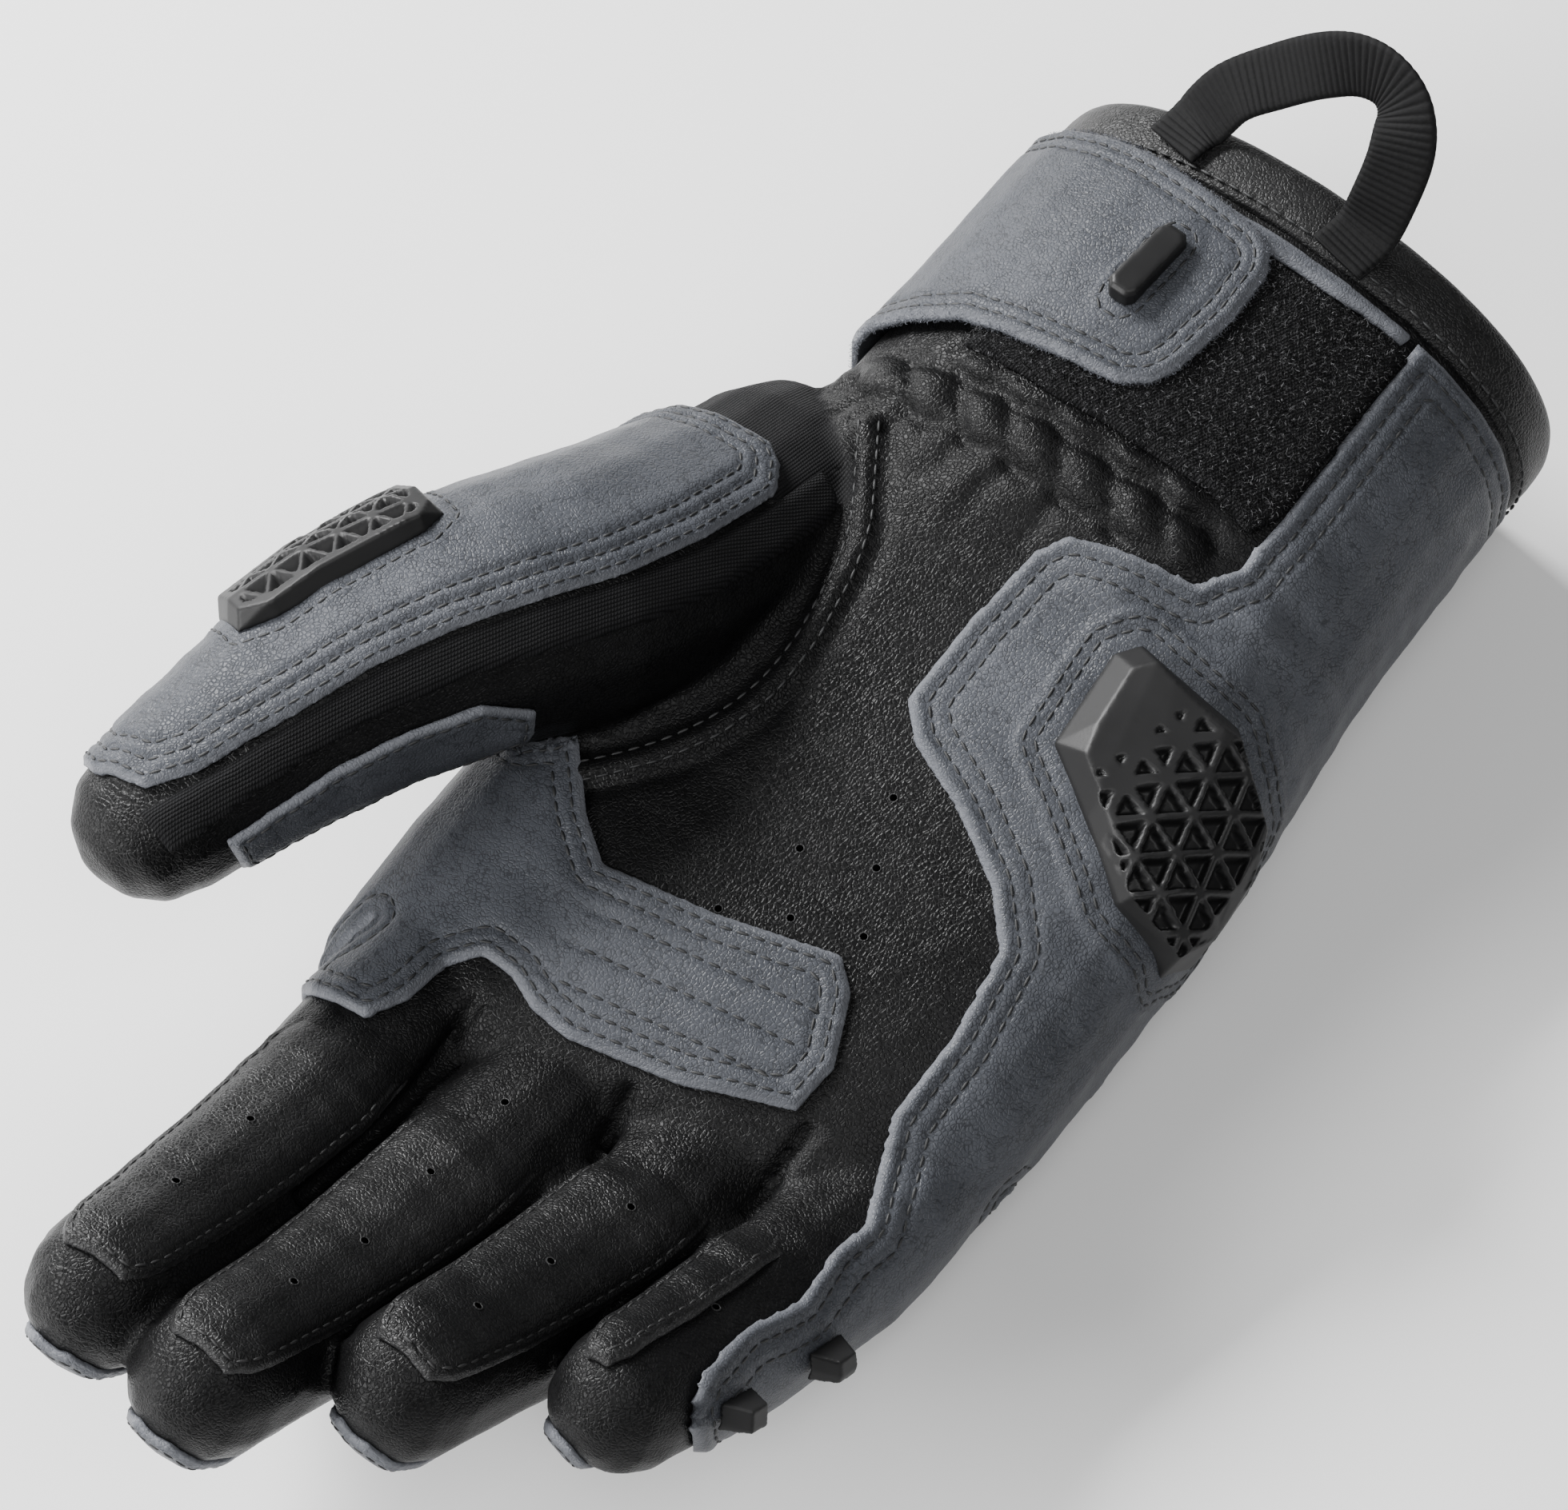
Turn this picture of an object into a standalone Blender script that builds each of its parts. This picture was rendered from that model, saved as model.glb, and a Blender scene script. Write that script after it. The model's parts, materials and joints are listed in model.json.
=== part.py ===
"""A right-hand motorcycle glove, lying on its back with the palm up.

The glove is a set of hollow lofted tubes (body, four fingers, thumb) with a leather wall.
Every panel sewn on it is a layer between the same tubes grown by two distances, so that it
follows the hand at an even height. Fingers point to -Y and the little finger is at +X.
"""

from math import ceil, cos, floor, pi, radians, sin

import bmesh
import bpy
from mathutils import Matrix, Vector

mm = 0.001

# Main sizes of the glove
PALM_WIDTH = 100 * mm
BODY_LENGTH = 178 * mm
CUFF_HEIGHT = 60 * mm
WALL = 1.8 * mm
PATCH = 1.4 * mm
SEAM_GAP = 0.42 * mm
STRAP = 1.6 * mm

# Heights above the tubes where each layer starts and ends
FIRST_LOW = SEAM_GAP
FIRST_HIGH = SEAM_GAP + PATCH
SECOND_LOW = FIRST_HIGH + SEAM_GAP
STRAP_HIGH = SECOND_LOW + STRAP
RUBBER_HIGH = SECOND_LOW + 4.2 * mm
RUBBER_FLOOR = SECOND_LOW + 1.5 * mm
BACK_LIFT = FIRST_HIGH
PANEL_FLOOR = 10 * mm
PLAN_GAP = 0.4 * mm

# Body sections from the cuff's rim to the knuckles.
# along is a share of BODY_LENGTH, left and right are shares of PALM_WIDTH from the centre line,
# top and lift (of the back off its flat) are shares of CUFF_HEIGHT, hollow is the dip of the palm,
# square is the superellipse exponent, slant moves the little finger's side towards the cuff
# and pucker is the share of PUCKER_DEPTH that the gathers have there.
BODY_COLUMNS = ("along", "left", "right", "top", "lift", "hollow", "square", "slant", "pucker")
BODY_ROWS = (
    (0.000, 0.452, 0.440, 0.950, 0.00, 0.00, 2.1, 0.00, 0.0),
    (0.120, 0.453, 0.445, 0.950, 0.00, 0.00, 2.2, 0.00, 0.0),
    (0.250, 0.456, 0.455, 0.915, 0.00, 0.00, 2.3, 0.00, 0.0),
    (0.295, 0.460, 0.460, 0.900, 0.00, 0.00, 2.3, 0.00, 0.3),
    (0.318, 0.463, 0.462, 0.855, 0.00, 0.01, 2.4, 0.00, 1.0),
    (0.340, 0.466, 0.468, 0.875, 0.00, 0.02, 2.4, 0.00, 1.0),
    (0.362, 0.470, 0.470, 0.835, 0.00, 0.03, 2.4, 0.00, 1.0),
    (0.385, 0.472, 0.475, 0.845, 0.00, 0.04, 2.5, 0.01, 0.6),
    (0.450, 0.480, 0.490, 0.800, 0.00, 0.06, 2.5, 0.02, 0.0),
    (0.580, 0.495, 0.505, 0.780, 0.00, 0.12, 2.6, 0.05, 0.0),
    (0.700, 0.502, 0.510, 0.720, 0.00, 0.14, 2.6, 0.09, 0.0),
    (0.820, 0.502, 0.510, 0.640, 0.02, 0.08, 2.6, 0.14, 0.0),
    (0.920, 0.495, 0.500, 0.560, 0.06, 0.00, 2.5, 0.18, 0.0),
)
BODY_SIDES = 26
LONGEST_STEP = 0.14
KNUCKLE_DOME = 14 * mm
PUCKER_DEPTH = 0.9 * mm

# Fingers: root is a share of PALM_WIDTH from the centre line, start a share of BODY_LENGTH,
# splay turns the finger in plan towards the little finger's side.
FINGER_COLUMNS = ("name", "root", "start", "length", "width", "thickness", "splay")
FINGERS = (
    ("index", -0.347, 0.880, 107.5 * mm, 26.0 * mm, 24.5 * mm, 3.8),
    ("middle", -0.075, 0.890, 106.5 * mm, 25.6 * mm, 24.5 * mm, -0.9),
    ("ring", 0.178, 0.860, 93 * mm, 24.6 * mm, 23.5 * mm, -4.6),
    ("little", 0.402, 0.810, 84 * mm, 24.0 * mm, 21.5 * mm, -4.2),
)
FINGER_ROOT_HEIGHT = 0.31
TUBE_COLUMNS = ("along", "width", "thickness", "heading", "pitch")
FINGER_ROWS = (
    (0.00, 0.86, 0.92, 0.0, 2.0),
    (0.25, 1.00, 1.00, 0.0, 7.0),
    (0.42, 0.97, 0.95, 0.0, 16.0),
    (0.58, 0.95, 0.98, 0.0, 24.0),
    (0.74, 0.89, 0.93, 0.0, 31.0),
    (1.00, 0.83, 0.90, 0.0, 37.0),
)
FINGER_SIDES = 14
FINGER_STATIONS = 7

# Thumb: heading turns it in plan away from the fingers
THUMB_LENGTH = 130 * mm
THUMB_WIDTH = 38 * mm
THUMB_THICKNESS = 33 * mm
THUMB_ROOT = (-0.430, 0.42, 0.48)
THUMB_ROLL = 10.0
THUMB_ROWS = (
    (0.00, 0.94, 0.84, -2.0, 20.0),
    (0.25, 1.04, 1.00, -8.0, 20.0),
    (0.45, 1.02, 1.04, -26.0, 14.0),
    (0.65, 0.91, 0.93, -22.0, 4.0),
    (0.82, 0.78, 0.82, -15.0, -6.0),
    (1.00, 0.66, 0.68, -14.0, -9.0),
)
THUMB_SIDES = 16
THUMB_STATIONS = 11
THUMB_ROOT_DEPTH = 15 * mm
ROOT_DOMES = (64, 34)
TIP_DOMES = (30, 58, 82)

# Outlines in plan: shares of PALM_WIDTH across and of BODY_LENGTH along
GRIP_OUTLINE = (
    (-0.640, 0.860), (-0.500, 0.745), (-0.379, 0.742), (-0.284, 0.796), (-0.212, 0.824),
    (-0.030, 0.803), (0.155, 0.771), (0.200, 0.791), (0.250, 0.849), (0.244, 0.895),
    (0.088, 0.934), (-0.085, 0.958), (-0.153, 0.956), (-0.209, 0.944), (-0.265, 0.942),
    (-0.300, 0.965), (-0.305, 1.010), (-0.330, 1.045), (-0.430, 1.050), (-0.640, 1.030),
)
SIDE_OUTLINE = (
    (0.640, 0.057), (0.256, 0.057), (0.263, 0.148), (0.269, 0.264), (0.262, 0.315),
    (0.228, 0.350), (0.103, 0.364), (0.032, 0.377), (0.002, 0.405), (-0.012, 0.481),
    (-0.010, 0.565), (0.040, 0.592), (0.161, 0.620), (0.265, 0.654), (0.332, 0.692),
    (0.355, 0.771), (0.355, 0.850), (0.395, 0.900), (0.425, 0.935), (0.419, 0.973),
    (0.438, 1.028), (0.416, 1.083), (0.428, 1.141), (0.470, 1.185), (0.640, 1.185),
)
PAD_OUTLINE = (
    (-0.290, 0.085), (0.100, 0.080), (0.235, 0.074), (0.242, 0.148), (0.248, 0.262),
    (0.225, 0.292), (0.149, 0.285), (0.009, 0.288), (-0.136, 0.290), (-0.290, 0.285),
)
CUFF_OUTLINE = (
    (-0.640, 0.057), (0.245, 0.057), (0.240, 0.070), (0.100, 0.076), (-0.297, 0.081),
    (-0.297, 0.300), (-0.640, 0.315),
)
STRAP_OUTLINE = (
    (-0.640, 0.040), (-0.400, 0.045), (-0.269, 0.050), (-0.138, 0.060), (-0.030, 0.068),
    (0.005, 0.080), (0.025, 0.100), (0.030, 0.150), (0.015, 0.215), (-0.005, 0.240),
    (-0.050, 0.257), (-0.178, 0.264), (-0.319, 0.270), (-0.449, 0.292), (-0.640, 0.300),
)
BUTTON_OUTLINE = (
    (-0.133, 0.124), (-0.127, 0.117), (-0.110, 0.117), (-0.104, 0.124),
    (-0.110, 0.192), (-0.116, 0.199), (-0.133, 0.199), (-0.139, 0.192),
)
BUTTON_TOP = 1.045
BUTTON_BEVEL = 0.75 * mm

# Slider outline with heights as shares of CUFF_HEIGHT, and the way it faces
SLIDER_OUTLINE = (
    (0.195, 0.528, 0.720), (0.183, 0.438, 0.765), (0.205, 0.418, 0.765), (0.385, 0.420, 0.690),
    (0.490, 0.452, 0.500), (0.510, 0.495, 0.380), (0.512, 0.570, 0.350), (0.500, 0.612, 0.450),
    (0.412, 0.604, 0.650), (0.302, 0.565, 0.700),
)
SLIDER_FACING = (0.58, -0.10, 0.81)
SLIDER_BEVEL = 1.9 * mm
# Pockets: shares of the slider's own length and width from its middle, side in shares of its width
POCKET_ROWS = (
    (-0.08, (-0.18, 0.0, 0.18), 0.045),
    (0.04, (-0.24, -0.08, 0.08, 0.24), 0.06),
    (0.17, (-0.24, -0.08, 0.08, 0.24), 0.07),
    (0.30, (-0.17, 0.0, 0.17), 0.07),
)

# Panels on the tubes: rows of ring, first side and last side, both as positions in the ring
INDEX_FRONT_ROWS = (
    (2.15, 1.2, 4.8), (3.0, 1.1, 4.9), (5.0, 1.2, 4.8), (6.6, 1.4, 4.6), (7.3, 1.8, 4.2),
)
FRONT_ROWS = ((1.9, 1.2, 4.8), (3.0, 1.1, 4.9), (5.0, 1.2, 4.8), (6.6, 1.4, 4.6), (7.3, 1.8, 4.2))
LITTLE_FRONT_ROWS = (
    (2.7, 3.5, 4.6), (3.2, 3.1, 4.9), (5.0, 3.05, 4.9), (6.6, 3.1, 4.8), (7.3, 3.4, 4.4),
)
LITTLE_BACK_ROWS = ((5.2, 8.3, 10.3), (6.0, 8.3, 10.5), (7.3, 8.4, 10.5), (8.1, 8.8, 10.2))
TIP_BACK_ROWS = ((4.6, 8.5, 11.5), (6.0, 8.4, 11.6), (7.3, 8.5, 11.5), (8.1, 8.9, 11.1))
THUMB_TOP_ROWS = (
    (1.1, 3.0, 5.0), (1.3, 2.5, 6.0), (1.7, 2.05, 7.0), (2.1, 2.05, 8.0), (4.0, 2.05, 8.4),
    (8.0, 2.05, 8.4), (9.4, 2.4, 8.0), (10.0, 3.0, 7.6), (10.35, 4.0, 7.0), (10.6, 4.6, 6.2),
)
THUMB_KNIT_ROWS = (
    (0.8, 0.8, 1.9), (4.0, 0.9, 1.92), (8.0, 0.9, 1.92), (9.2, 0.9, 2.1), (10.4, 0.8, 2.6),
)
THUMB_WEB_ROWS = ((5.3, -1.3, -0.4), (6.0, -1.8, 0.1), (8.0, -1.8, 0.2), (9.6, -1.5, 0.1))
GUARD_ROWS = ((5.5, 4.3, 6.4), (5.8, 4.0, 6.7), (7.6, 4.0, 6.7), (8.0, 4.4, 6.3))
GUARD_POCKETS = (
    (5.85, 6.3, 4.4, 5.2), (5.85, 6.3, 5.4, 6.2), (6.45, 6.93, 4.42, 5.22),
    (6.45, 6.93, 5.42, 6.22), (7.13, 7.57, 4.5, 5.2), (7.13, 7.57, 5.4, 6.1),
)
STUD_ROWS = (((3.2, -0.3, 0.5), (3.8, -0.3, 0.5)), ((4.9, -0.2, 0.6), (5.5, -0.2, 0.6)))

# Webbing loop: places as shares of PALM_WIDTH, BODY_LENGTH and CUFF_HEIGHT,
# and which way its width points
LOOP_WIDTH = 10 * mm
LOOP_THICKNESS = 1.2 * mm
LOOP_ROWS = (
    ((-0.235, -0.614, 0.945), (1.0, 0.00, 0.26)),
    ((-0.222, -0.645, 0.966), (1.0, 0.00, 0.24)),
    ((-0.195, -0.668, 1.055), (0.95, -0.25, 0.05)),
    ((-0.145, -0.690, 1.125), (0.75, -0.55, -0.35)),
    ((-0.085, -0.704, 1.215), (0.35, -0.55, -0.75)),
    ((-0.030, -0.712, 1.270), (0.05, -0.40, -0.92)),
    ((0.025, -0.710, 1.290), (-0.10, -0.35, -0.93)),
    ((0.070, -0.698, 1.265), (-0.45, -0.45, -0.77)),
    ((0.096, -0.676, 1.195), (-0.80, -0.50, -0.33)),
    ((0.104, -0.650, 1.105), (-0.98, -0.20, 0.00)),
    ((0.100, -0.630, 1.012), (-1.0, 0.00, 0.06)),
    ((0.090, -0.598, 0.998), (-1.0, 0.00, 0.06)),
)

# Binding section round the rim: place along the body as a distance, and how far it is grown
BINDING = 1.3 * mm
BINDING_DEPTH = 9 * mm
BINDING_SECTION = (
    (BINDING_DEPTH, SEAM_GAP), (BINDING_DEPTH, SEAM_GAP + BINDING), (0.0, SEAM_GAP + BINDING),
    (-1.6 * mm, -WALL / 2), (0.0, -WALL - SEAM_GAP - BINDING),
    (BINDING_DEPTH, -WALL - SEAM_GAP - BINDING), (BINDING_DEPTH, -WALL - SEAM_GAP),
    (-0.35 * mm, -WALL - SEAM_GAP), (-0.35 * mm, SEAM_GAP),
)

# Colours as linear red, green and blue with roughness
MATERIALS = {
    "black_leather": ((0.012, 0.012, 0.013), 0.48),
    "gray_leather": ((0.085, 0.092, 0.112), 0.52),
    "black_knit": ((0.010, 0.010, 0.011), 0.85),
    "pad_fleece": ((0.008, 0.008, 0.009), 0.95),
    "webbing": ((0.010, 0.010, 0.010), 0.80),
    "rubber": ((0.028, 0.028, 0.029), 0.62),
}


def named(columns, rows):
    return [dict(zip(columns, row)) for row in rows]


def smooth_row(rows, along):
    """Every column of a table at one place, on a smooth curve through the rows."""
    last = len(rows) - 1
    at = max(i for i in range(last) if rows[i]["along"] <= along + 1e-9)
    before, low, high, after = (rows[min(max(at + k, 0), last)] for k in (-1, 0, 1, 2))
    span = high["along"] - low["along"]
    t = (along - low["along"]) / span
    found = {}
    for key, value in low.items():
        lead = (high[key] - before[key]) / max(high["along"] - before["along"], span)
        trail = (after[key] - value) / max(after["along"] - low["along"], span)
        found[key] = (
            value * (1 + 2 * t) * (1 - t) ** 2
            + high[key] * (3 - 2 * t) * t**2
            + span * (lead * t * (1 - t) ** 2 - trail * t**2 * (1 - t))
        )
    return found


def signed_power(value, exponent):
    return abs(value) ** exponent * (1 if value >= 0 else -1)


# Places on the body: x grows to the little finger, y to the cuff, z up from the floor


def across(share):
    return share * PALM_WIDTH


def lengthwise(share):
    return (0.65 - share) * BODY_LENGTH


def upwards(share):
    return share * CUFF_HEIGHT


def body_ring(row, grow, dome=0.0, push=0.0):
    """One section of the body. dome is 0 on the straight part and runs to 90 degrees at the knuckles."""
    shrink = cos(radians(dome))
    reach = sin(radians(dome)) * (KNUCKLE_DOME + grow) - push
    left, right = across(-row["left"]), across(row["right"])
    middle = (left + right) / 2
    half_width = ((right - left) / 2 - KNUCKLE_DOME) + KNUCKLE_DOME * shrink + grow
    bottom = BACK_LIFT + upwards(row["lift"])
    centre = (bottom + upwards(row["top"])) / 2
    plain_height = (centre - bottom) * shrink
    half_height = plain_height + grow * max(shrink, 0.05)
    ring = []
    for i in range(BODY_SIDES):
        angle = 2 * pi * (i + 0.5) / BODY_SIDES
        x = signed_power(cos(angle), 2 / row["square"])
        z = signed_power(sin(angle), 2 / row["square"])
        height = max(z * 1.25, -1.0) * half_height
        if z > 0:
            height = z * half_height - z * plain_height * row["hollow"] * (1 - (x + 0.1) ** 2) * 2
            height += PUCKER_DEPTH * row["pucker"] * z**2 * (1 if i % 2 else -1)
        y = lengthwise(row["along"]) - reach + row["slant"] * (x * half_width)
        ring.append(Vector((middle + x * half_width, y, centre + height)))
    return ring


def body_stations():
    places = [row[0] for row in BODY_ROWS]
    found = [places[0]]
    for low, high in zip(places, places[1:]):
        if high - low > LONGEST_STEP:
            found.append((low + high) / 2)
        found.append(high)
    return found


def body_tube(grow=0.0, past_rim=0.0):
    rows = named(BODY_COLUMNS, BODY_ROWS)
    rings = [body_ring(smooth_row(rows, place), grow) for place in body_stations()]
    if past_rim:
        rings[0] = body_ring(rows[0], grow, push=past_rim)
    rings += [body_ring(rows[-1], grow, dome) for dome in (30, 55, 75, 88)]
    return rings


def section(place, axis, row, size, sides, roll, grow, dome, tip):
    side = Vector((0, 0, 1)).cross(axis).normalized()
    up = axis.cross(side)
    turned = Matrix.Rotation(radians(roll), 3, axis)
    side, up = turned @ side, turned @ up
    shrink = cos(radians(dome))
    half_width = (size[0] / 2 * row["width"] + grow) * shrink
    half_height = (size[1] / 2 * row["thickness"] + grow) * shrink
    centre = place + axis * (sin(radians(dome)) * (tip + grow))
    ring = []
    for i in range(sides):
        angle = 2 * pi * (i + 0.5) / sides
        x = signed_power(cos(angle), 2 / 2.3) * half_width
        z = signed_power(sin(angle), 2 / 2.3) * half_height
        ring.append(centre + side * x + up * z)
    return ring


def swept_tube(rows, start, length, size, sides, stations, turn, roll, grow):
    """Sections along a path that turns by heading and pitch, closed by a round tip."""
    tip = size[0] / 2 * rows[-1]["width"]
    run = length - tip
    place = Vector(start)
    rings = []
    steps = 4 * (stations - 1)
    for step in range(steps + 1):
        row = smooth_row(rows, step / steps)
        heading = radians(row["heading"] + turn)
        pitch = radians(row["pitch"])
        axis = Vector((sin(heading) * cos(pitch), -cos(heading) * cos(pitch), sin(pitch)))
        if step:
            place = place + axis * (run / steps)
        if step % 4 == 0:
            rings.append(section(place, axis, row, size, sides, roll, grow, 0.0, tip))
    for dome in TIP_DOMES:
        rings.append(section(place, axis, rows[-1], size, sides, roll, grow, dome, tip))
    return rings


def finger_tube(finger, grow=0.0):
    start = (across(finger["root"]), lengthwise(finger["start"]), upwards(FINGER_ROOT_HEIGHT))
    size = (finger["width"], finger["thickness"])
    rows = named(TUBE_COLUMNS, FINGER_ROWS)
    return swept_tube(
        rows, start, finger["length"], size, FINGER_SIDES, FINGER_STATIONS, finger["splay"], 0.0, grow
    )


def thumb_tube(grow=0.0):
    x, y, z = THUMB_ROOT
    start = (across(x), lengthwise(y), upwards(z))
    rows = named(TUBE_COLUMNS, THUMB_ROWS)
    size = (THUMB_WIDTH, THUMB_THICKNESS)
    return swept_tube(rows, start, THUMB_LENGTH, size, THUMB_SIDES, THUMB_STATIONS, 0.0, THUMB_ROLL, grow)


def thumb_body(grow=0.0):
    """The thumb's tube with its root rounded off where it enters the body."""
    rings = thumb_tube(grow)
    middle = sum(rings[0], Vector()) / len(rings[0])
    row = named(TUBE_COLUMNS, THUMB_ROWS)[0]
    heading, pitch = radians(row["heading"]), radians(row["pitch"])
    axis = Vector((sin(heading) * cos(pitch), -cos(heading) * cos(pitch), sin(pitch)))
    root = []
    for dome in ROOT_DOMES:
        back = axis * (sin(radians(dome)) * (THUMB_ROOT_DEPTH + grow))
        root.append([middle + (p - middle) * cos(radians(dome)) - back for p in rings[0]])
    return root + rings


def link_mesh(name, mesh):
    bmesh.ops.remove_doubles(mesh, verts=mesh.verts, dist=0.00001)
    bmesh.ops.recalc_face_normals(mesh, faces=mesh.faces)
    data = bpy.data.meshes.new(name)
    mesh.to_mesh(data)
    mesh.free()
    made = bpy.data.objects.new(name, data)
    bpy.context.scene.collection.objects.link(made)
    return made


def solid(name, rings, ring_shaped=False):
    """A closed mesh lofted through rings of equal length, capped or joined into a loop."""
    mesh = bmesh.new()
    rows = [[mesh.verts.new(p) for p in ring] for ring in rings]
    count = len(rings[0])
    pairs = list(zip(rows, rows[1:]))
    if ring_shaped:
        pairs.append((rows[-1], rows[0]))
    for low, high in pairs:
        for i in range(count):
            j = (i + 1) % count
            mesh.faces.new((low[i], low[j], high[j]))
            mesh.faces.new((low[i], high[j], high[i]))
    if not ring_shaped:
        mesh.faces.new(list(reversed(rows[0])))
        mesh.faces.new(rows[-1])
    return link_mesh(name, mesh)


def prism(name, low_points, high_points):
    return solid(name, [[Vector(p) for p in low_points], [Vector(p) for p in high_points]])


def boolean(target, cutters, operation):
    """The target after an exact cut. The cutters are used up."""
    for cutter in cutters:
        modifier = target.modifiers.new("cut", "BOOLEAN")
        modifier.operation = operation
        modifier.solver = "EXACT"
        modifier.object = cutter
    graph = bpy.context.evaluated_depsgraph_get()
    data = bpy.data.meshes.new_from_object(target.evaluated_get(graph))
    target.modifiers.clear()
    target.data = data
    for cutter in cutters:
        bpy.data.objects.remove(cutter)
    return target


def linked_groups(mesh):
    left = set(mesh.verts)
    groups = []
    while left:
        group = {left.pop()}
        waiting = list(group)
        while waiting:
            for edge in waiting.pop().link_edges:
                for vert in edge.verts:
                    if vert not in group:
                        group.add(vert)
                        waiting.append(vert)
        left -= group
        groups.append(group)
    return sorted(groups, key=len, reverse=True)


def keep_main_piece(target):
    """Drops the small loose pieces that a cut can leave and merges flat facets, if it stays closed."""
    ways = ("BEAUTY", "EAR_CLIP")
    tries = [(weld, flat, way) for flat in (0.5, 0.0) for weld in (20, 5, 1, 0) for way in ways]
    for weld, flat, way in tries + [(0, 0.0, "")]:
        mesh = bmesh.new()
        mesh.from_mesh(target.data)
        if weld:
            bmesh.ops.remove_doubles(mesh, verts=mesh.verts, dist=weld * 0.001 * mm)
            bmesh.ops.dissolve_degenerate(mesh, edges=mesh.edges, dist=weld * 0.001 * mm)
        loose = [vert for group in linked_groups(mesh)[1:] for vert in group]
        bmesh.ops.delete(mesh, geom=loose, context="VERTS")
        if flat:
            bmesh.ops.dissolve_limit(mesh, angle_limit=radians(flat), verts=mesh.verts, edges=mesh.edges)
        if way:
            bmesh.ops.triangulate(mesh, faces=mesh.faces, ngon_method=way)
        if not way or all(len(edge.link_faces) == 2 for edge in mesh.edges):
            break
        mesh.free()
    bmesh.ops.recalc_face_normals(mesh, faces=mesh.faces)
    mesh.to_mesh(target.data)
    mesh.free()
    return target


def joined_tubes(name, tubes, grow):
    made = solid(name, tubes[0](grow))
    for tube in tubes[1:]:
        boolean(made, [solid("more", tube(grow))], "UNION")
    return made


def layer(name, tubes, low, high, cutter, clear=()):
    """The part of the space between tubes grown by low and by high that lies inside the cutter."""
    made = joined_tubes(name, tubes, high)
    boolean(made, [cutter], "INTERSECT")
    boolean(made, [joined_tubes("inner", tubes, low)], "DIFFERENCE")
    for tube in clear:
        boolean(made, [solid("clear", tube(SEAM_GAP))], "DIFFERENCE")
    return keep_main_piece(made)


def plan_prism(outline, bottom, top):
    low = [(across(x), lengthwise(y), bottom) for x, y in outline]
    high = [(across(x), lengthwise(y), top) for x, y in outline]
    return prism("outline", low, high)


def inset(points, distance):
    """Points moved straight towards their middle."""
    middle = sum(points, Vector()) / len(points)
    return [p + (middle - p).normalized() * distance for p in points]


def row_at(rows, ring):
    for low, high in zip(rows, rows[1:]):
        if low[0] <= ring <= high[0]:
            t = (ring - low[0]) / (high[0] - low[0])
            return low[1] + (high[1] - low[1]) * t, low[2] + (high[2] - low[2]) * t
    return rows[-1][1:]


def place_on(rings, ring, side):
    """A point on a tube's facets at fractional ring and side positions."""
    count = len(rings[0])
    i, j = floor(side), min(floor(ring), len(rings) - 2)
    u, v = side - i, ring - j
    ends = [rings[j + k][i % count].lerp(rings[j + k][(i + 1) % count], u) for k in (0, 1)]
    return ends[0].lerp(ends[1], v)


def tube_panel(name, tube, rows, low, high, bevel=0.0):
    """A panel on one tube, bounded by the first and last side in each row."""
    start, end = rows[0][0], rows[-1][0]
    places = sorted({start, end, *(r[0] for r in rows), *range(ceil(start), floor(end) + 1)})
    columns = range(floor(min(r[1] for r in rows)), ceil(max(r[2] for r in rows)) + 1)
    mesh = bmesh.new()
    sheets = []
    for grow, shift in ((low, 0.0), (high, bevel)):
        rings = tube(grow)
        sheet = []
        for place in places:
            first, last = row_at(rows, place)
            spot = min(max(place, start + shift), end - shift)
            sides = [min(max(c, first + shift), last - shift) for c in columns]
            sheet.append([mesh.verts.new(place_on(rings, spot, side)) for side in sides])
        sheets.append(sheet)
    bottom, top = sheets
    for low_row, high_row, low_next, high_next in zip(bottom, top, bottom[1:], top[1:]):
        for i in range(len(low_row) - 1):
            for row, after in ((high_row, high_next), (low_row, low_next)):
                mesh.faces.new((row[i], row[i + 1], after[i + 1]))
                mesh.faces.new((row[i], after[i + 1], after[i]))
        mesh.faces.new((low_row[0], high_row[0], high_next[0], low_next[0]))
        mesh.faces.new((high_row[-1], low_row[-1], low_next[-1], high_next[-1]))
    for low_row, high_row in ((bottom[0], top[0]), (bottom[-1], top[-1])):
        for i in range(len(low_row) - 1):
            mesh.faces.new((low_row[i], low_row[i + 1], high_row[i + 1], high_row[i]))
    bmesh.ops.remove_doubles(mesh, verts=mesh.verts, dist=0.00002)
    bmesh.ops.dissolve_degenerate(mesh, edges=mesh.edges, dist=0.00002)
    bmesh.ops.triangulate(mesh, faces=mesh.faces)
    return link_mesh(name, mesh)


def make_hand(fingers):
    """The hollow tubes. Fingers and thumb stop just short of the body, and the hollows join."""
    shell = solid("palm_shell", body_tube())
    cores = [solid("core", finger_tube(f, -WALL)) for f in fingers]
    cores += [solid("core", body_tube(-WALL, 12 * mm)), solid("core", thumb_body(-WALL))]
    boolean(shell, cores, "DIFFERENCE")
    keep_main_piece(shell)
    for number, finger in enumerate(fingers):
        made = solid(finger["name"] + "_finger", finger_tube(finger))
        boolean(made, [solid("clear", body_tube(SEAM_GAP))], "DIFFERENCE")
        if number:
            boolean(made, [solid("clear", finger_tube(fingers[number - 1], SEAM_GAP))], "DIFFERENCE")
        boolean(made, [solid("core", finger_tube(finger, -WALL))], "DIFFERENCE")
        keep_main_piece(made)
    thumb = solid("thumb", thumb_body())
    boolean(thumb, [solid("clear", body_tube(SEAM_GAP))], "DIFFERENCE")
    boolean(thumb, [solid("core", thumb_body(-WALL))], "DIFFERENCE")
    keep_main_piece(thumb)


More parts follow.
